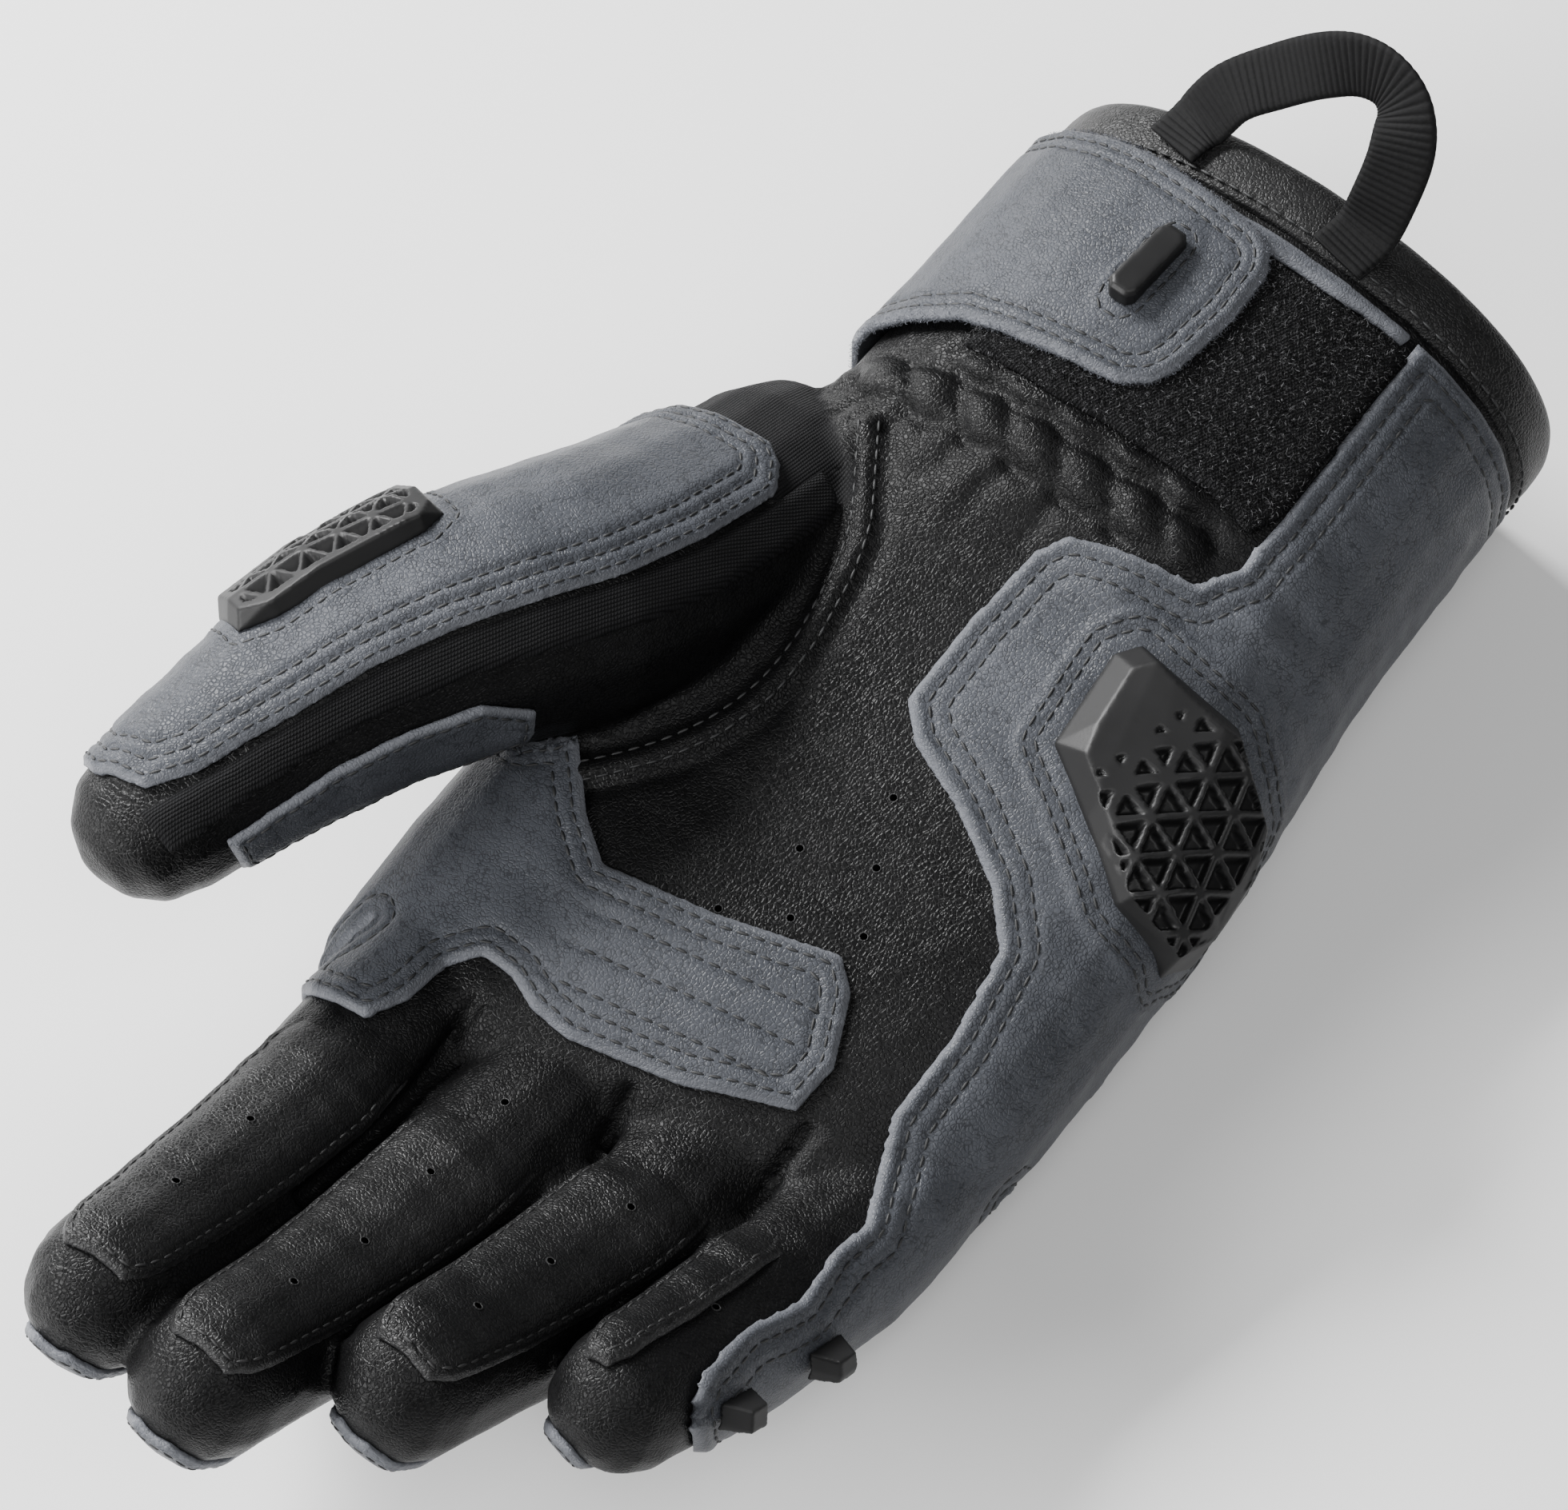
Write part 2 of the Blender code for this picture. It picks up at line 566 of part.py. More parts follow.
def make_body_panels(fingers):
    def index(grow):
        return finger_tube(fingers[0], grow)

    def little(grow):
        return finger_tube(fingers[3], grow)

    high_side = upwards(1.5)
    above_back = PANEL_FLOOR + PLAN_GAP
    side = plan_prism(SIDE_OUTLINE, above_back, high_side)
    layer("side_panel", [body_tube, little], FIRST_LOW, FIRST_HIGH, side)
    grip = plan_prism(GRIP_OUTLINE, upwards(0.28), high_side)
    layer("grip_patch", [body_tube, index], FIRST_LOW, FIRST_HIGH, grip, [thumb_tube])
    cuff = plan_prism(CUFF_OUTLINE, above_back, high_side)
    layer("cuff_panel", [body_tube], FIRST_LOW, FIRST_HIGH, cuff)
    pad = plan_prism(PAD_OUTLINE, upwards(0.5), high_side)
    layer("loop_pad", [body_tube], FIRST_LOW, FIRST_HIGH, pad)
    strap = plan_prism(STRAP_OUTLINE, 5 * mm, high_side)
    layer("closure_strap", [body_tube], SECOND_LOW, STRAP_HIGH, strap)
    back_outline = ((-0.64, 0.057), (0.64, 0.057), (0.64, 0.80), (-0.64, 0.93))
    back = plan_prism(back_outline, -5 * mm, PANEL_FLOOR)
    layer("hand_back", [body_tube], FIRST_LOW, FIRST_HIGH, back, [little])


def make_tube_panels(fingers):
    for finger in fingers:
        def tube(grow, finger=finger):
            return finger_tube(finger, grow)

        rows = {"index": INDEX_FRONT_ROWS, "little": LITTLE_FRONT_ROWS}.get(finger["name"], FRONT_ROWS)
        tube_panel(finger["name"] + "_front", tube, rows, FIRST_LOW, FIRST_HIGH)
        back_rows = LITTLE_BACK_ROWS if finger["name"] == "little" else TIP_BACK_ROWS
        tube_panel(finger["name"] + "_back", tube, back_rows, FIRST_LOW, FIRST_HIGH)
        if finger["name"] == "little":
            for letter, rows in zip("ab", STUD_ROWS):
                tube_panel("little_finger_stud_" + letter, tube, rows, SECOND_LOW, RUBBER_HIGH, 0.15)
    tube_panel("thumb_top", thumb_tube, THUMB_TOP_ROWS, FIRST_LOW, FIRST_HIGH)
    knit = tube_panel("thumb_knit", thumb_tube, THUMB_KNIT_ROWS, FIRST_LOW, FIRST_HIGH)
    keep_main_piece(boolean(knit, [solid("clear", body_tube(SEAM_GAP))], "DIFFERENCE"))
    tube_panel("thumb_web_strip", thumb_tube, THUMB_WEB_ROWS, FIRST_LOW, FIRST_HIGH)
    guard = tube_panel("thumb_guard", thumb_tube, GUARD_ROWS, SECOND_LOW, RUBBER_HIGH - 1.6 * mm, 0.12)
    pockets = []
    for r0, r1, s0, s1 in GUARD_POCKETS:
        rows = ((r0, s0, s1), (r1, s0, s1))
        pockets.append(tube_panel("pocket", thumb_tube, rows, RUBBER_FLOOR, RUBBER_HIGH + 2 * mm))
    keep_main_piece(boolean(guard, pockets, "DIFFERENCE"))


def make_slider():
    facing = Vector(SLIDER_FACING).normalized()
    points = [Vector((across(x), lengthwise(y), upwards(z))) for x, y, z in SLIDER_OUTLINE]
    low = [p - facing * 8 * mm for p in points]
    edge = [p + facing * 3 * mm for p in points]
    top = [p + facing * 14 * mm for p in inset(points, SLIDER_BEVEL * 3)]
    block = solid("palm_slider_block", [low, edge, top])
    slider = layer("palm_slider", [body_tube], SECOND_LOW, RUBBER_HIGH, block)
    middle = sum(points, Vector()) / len(points)
    down = (points[7] - points[2]) - facing * (points[7] - points[2]).dot(facing)
    length = down.length
    down.normalize()
    wide = facing.cross(down)
    reach = [(p - middle).dot(wide) for p in points]
    width = max(reach) - min(reach)
    pockets = []
    for at, places, side in POCKET_ROWS:
        for number, place in enumerate(places):
            centre = middle + down * (at * length) + wide * (place * width)
            turn = 1 if number % 2 else -1
            corners = [
                centre + (down * cos(2 * pi * k / 3) + wide * sin(2 * pi * k / 3)) * (side * width * turn)
                for k in range(3)
            ]
            pocket = prism(
                "pocket", [p - facing * 12 * mm for p in corners], [p + facing * 14 * mm for p in corners]
            )
            pockets.append(boolean(pocket, [solid("floor", body_tube(RUBBER_FLOOR))], "DIFFERENCE"))
    keep_main_piece(boolean(slider, pockets, "DIFFERENCE"))


def make_button():
    low = [Vector((across(x), lengthwise(y), upwards(0.86))) for x, y in BUTTON_OUTLINE]
    edge = [Vector((p.x, p.y, upwards(BUTTON_TOP) - BUTTON_BEVEL)) for p in low]
    top = [Vector((p.x, p.y, upwards(BUTTON_TOP))) for p in inset(edge, BUTTON_BEVEL)]
    button = solid("strap_button", [low, edge, top])
    keep_main_piece(boolean(button, [solid("seat", body_tube(STRAP_HIGH + SEAM_GAP))], "DIFFERENCE"))


def make_binding():
    rows = named(BODY_COLUMNS, BODY_ROWS)
    rings = []
    for depth, grow in BINDING_SECTION:
        if depth > 0:
            rings.append(body_ring(smooth_row(rows, depth / BODY_LENGTH), grow))
        else:
            rings.append(body_ring(rows[0], grow, push=-depth))
    solid("cuff_binding", rings, ring_shaped=True)


def make_loop():
    rings = []
    centres = [Vector((across(x), -y * BODY_LENGTH, upwards(z))) for (x, y, z), way in LOOP_ROWS]
    for number, (spot, way) in enumerate(LOOP_ROWS):
        before, after = centres[max(number - 1, 0)], centres[min(number + 1, len(centres) - 1)]
        path = (after - before).normalized()
        wide = Vector(way)
        wide = (wide - path * wide.dot(path)).normalized() * (LOOP_WIDTH / 2)
        thick = path.cross(wide).normalized() * (LOOP_THICKNESS / 2)
        corners = (-wide - thick, wide - thick, wide + thick, thick - wide)
        rings.append([centres[number] + corner for corner in corners])
    solid("pull_loop", rings)


def paint():
    groups = {
        "gray_leather": (
            "side_panel", "grip_patch", "cuff_panel", "closure_strap", "thumb_top", "thumb_web_strip",
        ),
        "black_knit": ("thumb_knit", "hand_back"),
        "pad_fleece": ("loop_pad",),
        "webbing": ("pull_loop",),
        "rubber": ("strap_button", "thumb_guard", "palm_slider"),
    }
    for made in list(bpy.data.objects):
        slot = next((key for key, names in groups.items() if made.name in names), "black_leather")
        if made.name.endswith("_back") and made.name != "hand_back":
            slot = "gray_leather"
        if "stud" in made.name:
            slot = "rubber"
        colour, roughness = MATERIALS[slot]
        material = bpy.data.materials.new(made.name + "_" + slot)
        material.use_nodes = True
        shader = material.node_tree.nodes["Principled BSDF"]
        shader.inputs["Base Color"].default_value = (*colour, 1)
        shader.inputs["Roughness"].default_value = roughness
        shader.inputs["Metallic"].default_value = 0.0
        made.data.materials.clear()
        made.data.materials.append(material)


def centre_on_floor():
    """Moves everything so that the middle of the box's bottom is the origin."""
    spots = [v.co for made in bpy.data.objects for v in made.data.vertices]
    low = Vector([min(p[k] for p in spots) for k in range(3)])
    high = Vector([max(p[k] for p in spots) for k in range(3)])
    shift = Vector(((low.x + high.x) / 2, (low.y + high.y) / 2, low.z))
    for made in bpy.data.objects:
        made.data.transform(Matrix.Translation(-shift))
        made.data.shade_smooth()
        made.data.set_sharp_from_angle(angle=radians(32))
    return shift


for old in list(bpy.data.objects):
    bpy.data.objects.remove(old)

all_fingers = named(FINGER_COLUMNS, FINGERS)
make_hand(all_fingers)
make_body_panels(all_fingers)
make_tube_panels(all_fingers)
make_slider()
make_button()
make_binding()
make_loop()
paint()
moved_by = centre_on_floor()
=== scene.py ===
import json
from math import cos, pi, radians, sin, tau

import bmesh
import bpy
import numpy as np
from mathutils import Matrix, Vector, noise
from mathutils.bvhtree import BVHTree

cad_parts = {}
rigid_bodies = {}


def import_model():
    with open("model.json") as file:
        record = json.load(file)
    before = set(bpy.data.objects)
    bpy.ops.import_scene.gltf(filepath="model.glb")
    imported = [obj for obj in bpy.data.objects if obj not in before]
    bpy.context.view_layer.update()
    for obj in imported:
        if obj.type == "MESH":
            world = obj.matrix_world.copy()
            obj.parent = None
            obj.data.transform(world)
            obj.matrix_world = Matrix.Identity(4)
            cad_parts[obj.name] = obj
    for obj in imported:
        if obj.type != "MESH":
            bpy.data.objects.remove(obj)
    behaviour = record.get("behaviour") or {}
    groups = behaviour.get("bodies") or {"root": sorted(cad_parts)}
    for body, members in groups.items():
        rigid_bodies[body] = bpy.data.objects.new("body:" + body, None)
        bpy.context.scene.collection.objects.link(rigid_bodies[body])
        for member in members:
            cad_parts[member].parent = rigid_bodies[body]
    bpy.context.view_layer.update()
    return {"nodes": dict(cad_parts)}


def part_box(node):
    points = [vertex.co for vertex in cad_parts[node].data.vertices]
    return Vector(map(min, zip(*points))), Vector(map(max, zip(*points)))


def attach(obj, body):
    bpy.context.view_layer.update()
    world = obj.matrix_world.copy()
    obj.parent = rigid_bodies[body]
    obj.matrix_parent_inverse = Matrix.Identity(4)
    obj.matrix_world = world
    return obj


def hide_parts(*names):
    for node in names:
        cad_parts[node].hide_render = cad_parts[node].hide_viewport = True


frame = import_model()
mm = 0.001
print("frame loaded:", len(frame["nodes"]), "nodes")

# The glove's own measure: places are given as a share of the palm's width from its middle line
# and a share of the body's length from the rim. Fingers point to -Y, the little finger is at +X.
glove = {"palmWidth": 100 * mm, "bodyLength": 178 * mm, "palmLeft": 0.499, "rimAlong": 0.65}
palmLow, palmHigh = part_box("palm_shell")
middleX = palmLow.x + glove["palmLeft"] * glove["palmWidth"]
middleY = palmHigh.y - glove["rimAlong"] * glove["bodyLength"]


def plan(share, along):
    return Vector((middleX + share * glove["palmWidth"],
                   middleY + (glove["rimAlong"] - along) * glove["bodyLength"], 0))


def shares(points):
    across = (points[:, 0] - middleX) / glove["palmWidth"]
    along = glove["rimAlong"] - (points[:, 1] - middleY) / glove["bodyLength"]
    return across, along


# Mesh helpers

def arrays(mesh):
    mesh.calc_loop_triangles()
    points = np.empty(len(mesh.vertices) * 3)
    mesh.vertices.foreach_get("co", points)
    tris = np.empty(len(mesh.loop_triangles) * 3, int)
    mesh.loop_triangles.foreach_get("vertices", tris)
    edges = np.empty(len(mesh.edges) * 2, int)
    mesh.edges.foreach_get("vertices", edges)
    return points.reshape(-1, 3), tris.reshape(-1, 3), edges.reshape(-1, 2)


def normalsOf(mesh):
    found = np.empty(len(mesh.vertices) * 3)
    mesh.vertex_normals.foreach_get("vector", found)
    return found.reshape(-1, 3)


def setPoints(mesh, points):
    mesh.vertices.foreach_set("co", points.astype(np.float32).ravel())
    mesh.update()


def addValue(mesh, name, values):
    layer = mesh.attributes.new(name, "FLOAT", "POINT")
    layer.data.foreach_set("value", values.astype(np.float32))


def linked(name, mesh):
    made = bpy.data.objects.new(name, mesh)
    bpy.context.scene.collection.objects.link(made)
    return made


def meltedCopy(names, grow=0.0):
    mesh = bmesh.new()
    for node in names:
        mesh.from_mesh(frame["nodes"][node].data)
    bmesh.ops.remove_doubles(mesh, verts=mesh.verts, dist=0.01 * mm)
    mesh.normal_update()
    for vert in mesh.verts:
        vert.co += vert.normal * grow
    return mesh


def joinRings(mesh, rings):
    for low, high in zip(rings, rings[1:]):
        for j in range(len(low)):
            i = (j + 1) % len(low)
            mesh.faces.new((low[j], low[i], high[i], high[j]))


def evaluated(obj):
    graph = bpy.context.evaluated_depsgraph_get()
    return bpy.data.meshes.new_from_object(obj.evaluated_get(graph))


def voxelMesh(mesh, size):
    data = bpy.data.meshes.new("voxels")
    mesh.to_mesh(data)
    mesh.free()
    work = linked("voxels", data)
    remesh = work.modifiers.new("voxels", "REMESH")
    remesh.mode = "VOXEL"
    remesh.voxel_size = size
    found = evaluated(work)
    bpy.data.objects.remove(work)
    return found


def spread(values, edges, rounds, share=0.5):
    # evens out any value over the mesh, a step at a time
    count = np.bincount(edges.ravel(), minlength=len(values))[:, None]
    flat = values.reshape(len(values), -1).copy()
    for _ in range(rounds):
        total = np.zeros_like(flat)
        for k in range(flat.shape[1]):
            total[:, k] = np.bincount(edges[:, 0], flat[edges[:, 1], k], len(flat))
            total[:, k] += np.bincount(edges[:, 1], flat[edges[:, 0], k], len(flat))
        flat += (total / np.maximum(count, 1) - flat) * share
    return flat.reshape(values.shape)


def relaxed(points, edges, rounds):
    # smooths without shrinking
    for _ in range(rounds):
        points = spread(points, edges, 1, 0.5)
        points = spread(points, edges, 1, -0.52)
    return points


def treeOf(points, tris):
    return BVHTree.FromPolygons(points.tolist(), tris.tolist())


def cadTree(node):
    return treeOf(*arrays(frame["nodes"][node].data)[:2])


def distances(tree, points):
    return np.array([tree.find_nearest(p)[3] for p in points.tolist()])


def seats(tree, points):
    found = [tree.find_nearest(p) for p in points.tolist()]
    return np.array([f[0] for f in found]), np.array([f[1] for f in found])


def groupLabels(count, edges):
    label = np.arange(count)
    while True:
        low = np.minimum(label[edges[:, 0]], label[edges[:, 1]])
        following = label.copy()
        np.minimum.at(following, edges[:, 0], low)
        np.minimum.at(following, edges[:, 1], low)
        following = following[following]
        if (following == label).all():
            return label
        label = following


def hill(distance, width):
    return np.exp(-(distance / width) ** 2)


def noiseField(points, size, seed=0.0):
    # smooth noise from -1 to 1 whose lumps are about size across; size may differ by axis
    scaled = points / np.array(size) + seed
    return np.array([noise.noise(p) for p in scaled.tolist()])


def isoLines(points, tris, values, level, wanted):
    # lines where a value passes a level on the wanted part of a mesh, as lists of points
    above = values > level
    crossing = wanted[tris].all(axis=1) & (above[tris].any(axis=1) & ~above[tris].all(axis=1))
    links = {}
    spots = {}
    for tri in tris[crossing].tolist():
        keys = []
        for a, b in ((tri[0], tri[1]), (tri[1], tri[2]), (tri[2], tri[0])):
            if above[a] != above[b]:
                key = (min(a, b), max(a, b))
                if key not in spots:
                    t = (level - values[a]) / (values[b] - values[a])
                    spots[key] = points[a] + (points[b] - points[a]) * t
                keys.append(key)
        if len(keys) == 2:
            links.setdefault(keys[0], []).append(keys[1])
            links.setdefault(keys[1], []).append(keys[0])
    lines = []
    left = dict.fromkeys(sorted(links, key=lambda k: (len(links[k]), k)))
    while left:
        here = next(iter(left))
        chain = [here]
        del left[here]
        while True:
            onward = [k for k in links[here] if k in left]
            if not onward:
                break
            here = onward[0]
            del left[here]
            chain.append(here)
        closed = len(chain) > 8 and chain[0] in links[chain[-1]]
        lines.append((np.array([spots[k] for k in chain]), closed))
    return lines


def lineLength(line):
    return float(np.linalg.norm(np.diff(line, axis=0), axis=1).sum())


def smoothLine(line, closed, rounds=6):
    for _ in range(rounds):
        before, after = np.roll(line, 1, 0), np.roll(line, -1, 0)
        moved = (before + line * 2 + after) / 4
        if not closed:
            moved[0], moved[-1] = line[0], line[-1]
        line = moved
    return line


def flatDistance(points, route):
    # distance in plan from each point to a route given as shares, in metres
    spots = np.array([plan(*p)[:2] for p in route])
    best = np.full(len(points), 1.0)
    for a, b in zip(spots, spots[1:]):
        run = b - a
        t = np.clip((points[:, :2] - a) @ run / (run @ run), 0, 1)
        best = np.minimum(best, np.linalg.norm(points[:, :2] - a - t[:, None] * run, axis=1))
    return best


def finish(obj, material, slotName, *nodes):
    obj.data.materials.clear()
    obj.data.materials.append(material)
    obj.data.shade_smooth()
    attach(obj, "root")
    if nodes:
        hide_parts(*nodes)
    return obj


# Shader node groups shared by the materials

def socketed(name, inputs, outputs):
    group = bpy.data.node_groups.new(name, "ShaderNodeTree")
    for label, kind, value in inputs:
        made = group.interface.new_socket(label, in_out="INPUT", socket_type=kind)
        if value is not None:
            made.default_value = value
    for label, kind in outputs:
        group.interface.new_socket(label, in_out="OUTPUT", socket_type=kind)
    source = group.nodes.new("NodeGroupInput")
    target = group.nodes.new("NodeGroupOutput")
    return group, source, target


def add(tree, kind, inputs, **settings):
    # a node whose inputs are linked to sockets or set to plain values
    node = tree.nodes.new(kind)
    for name, value in settings.items():
        setattr(node, name, value)
    for key, value in inputs.items():
        if isinstance(value, bpy.types.NodeSocket):
            tree.links.new(value, node.inputs[key])
        else:
            node.inputs[key].default_value = value
    return node


def mathNode(tree, way, a, b=None):
    values = {0: a} if b is None else {0: a, 1: b}
    return add(tree, "ShaderNodeMath", values, operation=way).outputs[0]


def noiseNode(tree, vector, scale, detail=3.0, roughness=0.5):
    return add(tree, "ShaderNodeTexNoise",
               {"Vector": vector, "Scale": scale, "Detail": detail, "Roughness": roughness})


def remap(tree, value, low, high, toLow=0.0, toHigh=1.0):
    return add(tree, "ShaderNodeMapRange", {"Value": value, "From Min": low, "From Max": high,
                                            "To Min": toLow, "To Max": toHigh}).outputs["Result"]


def leatherGrainGroup():
    # pebbled hide: cells with creases between them, drawn out into wrinkles by a slow noise
    group, source, target = socketed(
        "leatherGrain",
        [("Vector", "NodeSocketVector", None), ("Cells", "NodeSocketFloat", 900.0),
         ("Wrinkle", "NodeSocketFloat", 0.5)],
        [("Height", "NodeSocketFloat"), ("Crease", "NodeSocketFloat"), ("Tone", "NodeSocketFloat")],
    )
    links = group.links
    warp = noiseNode(group, source.outputs["Vector"], 260.0, 2.0)
    shift = group.nodes.new("ShaderNodeVectorMath")
    shift.operation = "SCALE"
    shift.inputs["Scale"].default_value = 0.0012
    links.new(warp.outputs["Color"], shift.inputs[0])
    moved = group.nodes.new("ShaderNodeVectorMath")
    moved.operation = "ADD"
    links.new(source.outputs["Vector"], moved.inputs[0])
    links.new(shift.outputs[0], moved.inputs[1])
    cells = group.nodes.new("ShaderNodeTexVoronoi")
    cells.feature = "DISTANCE_TO_EDGE"
    links.new(moved.outputs[0], cells.inputs["Vector"])
    links.new(source.outputs["Cells"], cells.inputs["Scale"])
    pebble = remap(group, cells.outputs["Distance"], 0.0, 0.22)
    fine = noiseNode(group, source.outputs["Vector"], 2600.0, 3.0, 0.6)
    folds = noiseNode(group, source.outputs["Vector"], 210.0, 4.0, 0.62)
    ridge = mathNode(group, "ABSOLUTE", mathNode(group, "SUBTRACT", folds.outputs["Fac"], 0.5))
    crease = remap(group, ridge, 0.0, 0.045, 1.0, 0.0)
    lowered = mathNode(group, "MULTIPLY", crease, source.outputs["Wrinkle"])
    height = mathNode(group, "ADD", pebble, mathNode(group, "MULTIPLY", fine.outputs["Fac"], 0.12))
    height = mathNode(group, "SUBTRACT", height, mathNode(group, "MULTIPLY", lowered, 1.3))
    slow = noiseNode(group, source.outputs["Vector"], 38.0, 4.0, 0.55)
    links.new(height, target.inputs["Height"])
    links.new(lowered, target.inputs["Crease"])
    links.new(slow.outputs["Fac"], target.inputs["Tone"])
    return group


def edgeGroup():
    # pale raw edge of cut hide, from the distance to the panel's outline kept on the mesh
    group, source, target = socketed(
        "rawEdge",
        [("Vector", "NodeSocketVector", None), ("Distance", "NodeSocketFloat", 1.0),
         ("Width", "NodeSocketFloat", 0.6)],
        [("Mask", "NodeSocketFloat"), ("Fuzz", "NodeSocketFloat")],
    )
    rough = noiseNode(group, source.outputs["Vector"], 900.0, 3.0, 0.7)
    ragged = mathNode(group, "MULTIPLY", mathNode(group, "SUBTRACT", rough.outputs["Fac"], 0.5), 0.9)
    reach = mathNode(group, "ADD", source.outputs["Distance"], ragged)
    share = mathNode(group, "DIVIDE", reach, source.outputs["Width"])
    mask = remap(group, share, 0.3, 1.1, 1.0, 0.0)
    group.links.new(mask, target.inputs["Mask"])
    group.links.new(rough.outputs["Fac"], target.inputs["Fuzz"])
    return group


def weaveGroup():
    # threads crossing at two pitches on two directions of the object
    group, source, target = socketed(
        "threadWeave",
        [("Vector", "NodeSocketVector", None), ("Rows", "NodeSocketFloat", 6500.0),
         ("Beads", "NodeSocketFloat", 9000.0)],
        [("Height", "NodeSocketFloat")],
    )
    parts = group.nodes.new("ShaderNodeSeparateXYZ")
    group.links.new(source.outputs["Vector"], parts.inputs[0])
    wobble = noiseNode(group, source.outputs["Vector"], 300.0, 2.0)
    swing = mathNode(group, "MULTIPLY", wobble.outputs["Fac"], 1.6)
    rows = mathNode(group, "ADD", mathNode(group, "MULTIPLY", parts.outputs["X"],
                                           source.outputs["Rows"]), swing)
    beads = mathNode(group, "MULTIPLY", parts.outputs["Y"], source.outputs["Beads"])
    beads = mathNode(group, "ADD", beads, mathNode(group, "MULTIPLY", rows, 0.5))
    row = mathNode(group, "ABSOLUTE", mathNode(group, "SINE", rows))
    bead = mathNode(group, "ABSOLUTE", mathNode(group, "SINE", beads))
    raised = mathNode(group, "ADD", mathNode(group, "MULTIPLY", bead, 0.6), 0.4)
    group.links.new(mathNode(group, "MULTIPLY", row, raised), target.inputs["Height"])
    return group


leatherGrain = leatherGrainGroup()
rawEdge = edgeGroup()
threadWeave = weaveGroup()


def startMaterial(name, roughness):
    made = bpy.data.materials.new(name)
    made.use_nodes = True
    tree = made.node_tree
    shader = tree.nodes["Principled BSDF"]
    shader.inputs["Roughness"].default_value = roughness
    coords = tree.nodes.new("ShaderNodeTexCoord").outputs["Object"]
    return made, tree, shader, coords


def placed(tree, group, **values):
    node = tree.nodes.new("ShaderNodeGroup")
    node.node_tree = group
    for label, value in values.items():
        if isinstance(value, (int, float)):
            node.inputs[label].default_value = value
        else:
            tree.links.new(value, node.inputs[label])
    return node


def mixColour(tree, share, first, second):
    node = tree.nodes.new("ShaderNodeMix")
    node.data_type = "RGBA"
    sockets = (node.inputs["Factor"], node.inputs[6], node.inputs[7])
    for socket, value in zip(sockets, (share, first, second)):
        if isinstance(value, tuple):
            socket.default_value = (*value, 1)
        elif isinstance(value, float):
            socket.default_value = value
        else:
            tree.links.new(value, socket)
    return node.outputs[2]


def addBump(tree, shader, height, strength, distance):
    bump = tree.nodes.new("ShaderNodeBump")
    bump.inputs["Strength"].default_value = strength
    bump.inputs["Distance"].default_value = distance
    tree.links.new(height, bump.inputs["Height"])
    tree.links.new(bump.outputs["Normal"], shader.inputs["Normal"])


def attributeOf(tree, name):
    node = tree.nodes.new("ShaderNodeAttribute")
    node.attribute_name = name
    return node.outputs["Fac"]


def leather(name, colour, pale, cells, wrinkle, roughness, specular, edgeWidth, edgeColour, knitRows=0.0):
    made, tree, shader, coords = startMaterial(name, roughness)
    shader.inputs["Specular IOR Level"].default_value = specular
    grain = placed(tree, leatherGrain, Vector=coords, Cells=cells, Wrinkle=wrinkle)
    tone = remap(tree, grain.outputs["Tone"], 0.3, 0.7)
    shade = mixColour(tree, tone, colour, pale)
    # painted shade: a darker copy of the colour is laid into the grain's low creases and cell edges
    dark = tuple(c * 0.55 for c in colour)
    height = grain.outputs["Height"]
    grainHollowShade = remap(tree, height, 0.35, 0.0, 0.0, 0.75)
    shade = mixColour(tree, grainHollowShade, shade, dark)
    edge = placed(tree, rawEdge, Vector=coords, Distance=attributeOf(tree, "edge"), Width=edgeWidth)
    shade = mixColour(tree, edge.outputs["Mask"], shade, edgeColour)
    gloss = remap(tree, grain.outputs["Tone"], 0.3, 0.7, roughness - 0.06, roughness + 0.08)
    if knitRows:
        # the part of the skin that is knit, kept on the mesh as a share
        mask = attributeOf(tree, "knitted")
        weave = placed(tree, threadWeave, Vector=coords, Rows=knitRows, Beads=knitRows)
        threads = mixColour(tree, weave.outputs["Height"], (0.0018, 0.0018, 0.002), (0.012, 0.012, 0.013))
        shade = mixColour(tree, mask, shade, threads)
        gap = mathNode(tree, "SUBTRACT", mathNode(tree, "MULTIPLY", weave.outputs["Height"], 2.0), height)
        height = mathNode(tree, "ADD", height, mathNode(tree, "MULTIPLY", gap, mask))
        gloss = mathNode(tree, "ADD", gloss, mathNode(tree, "MULTIPLY", mask, 0.35))
    tree.links.new(shade, shader.inputs["Base Color"])
    tree.links.new(gloss, shader.inputs["Roughness"])
    addBump(tree, shader, height, 0.45, 0.00015)
    return made


def rubber(name, colour, roughness):
    made, tree, shader, coords = startMaterial(name, roughness)
    shader.inputs["Specular IOR Level"].default_value = 0.22
    speck = noiseNode(tree, coords, 2200.0, 4.0, 0.6)
    slow = noiseNode(tree, coords, 60.0, 3.0)
    shade = mixColour(tree, remap(tree, slow.outputs["Fac"], 0.3, 0.7), colour,
                      tuple(c * 1.35 for c in colour))
    tree.links.new(shade, shader.inputs["Base Color"])
    tree.links.new(remap(tree, slow.outputs["Fac"], 0.3, 0.7, roughness - 0.05, roughness + 0.08),
                   shader.inputs["Roughness"])
    addBump(tree, shader, speck.outputs["Fac"], 0.12, 0.0001)
    return made


def knit(name, colour, thread, turn, rows, beads):
    made, tree, shader, coords = startMaterial(name, 0.82)
    turned = tree.nodes.new("ShaderNodeMapping")
    turned.inputs["Rotation"].default_value = turn
    tree.links.new(coords, turned.inputs["Vector"])
    weave = placed(tree, threadWeave, Vector=turned.outputs["Vector"], Rows=rows, Beads=beads)
    shade = mixColour(tree, weave.outputs["Height"], colour, thread)
    tree.links.new(shade, shader.inputs["Base Color"])
    shader.inputs["Specular IOR Level"].default_value = 0.15
    addBump(tree, shader, weave.outputs["Height"], 0.8, 0.0003)
    return made


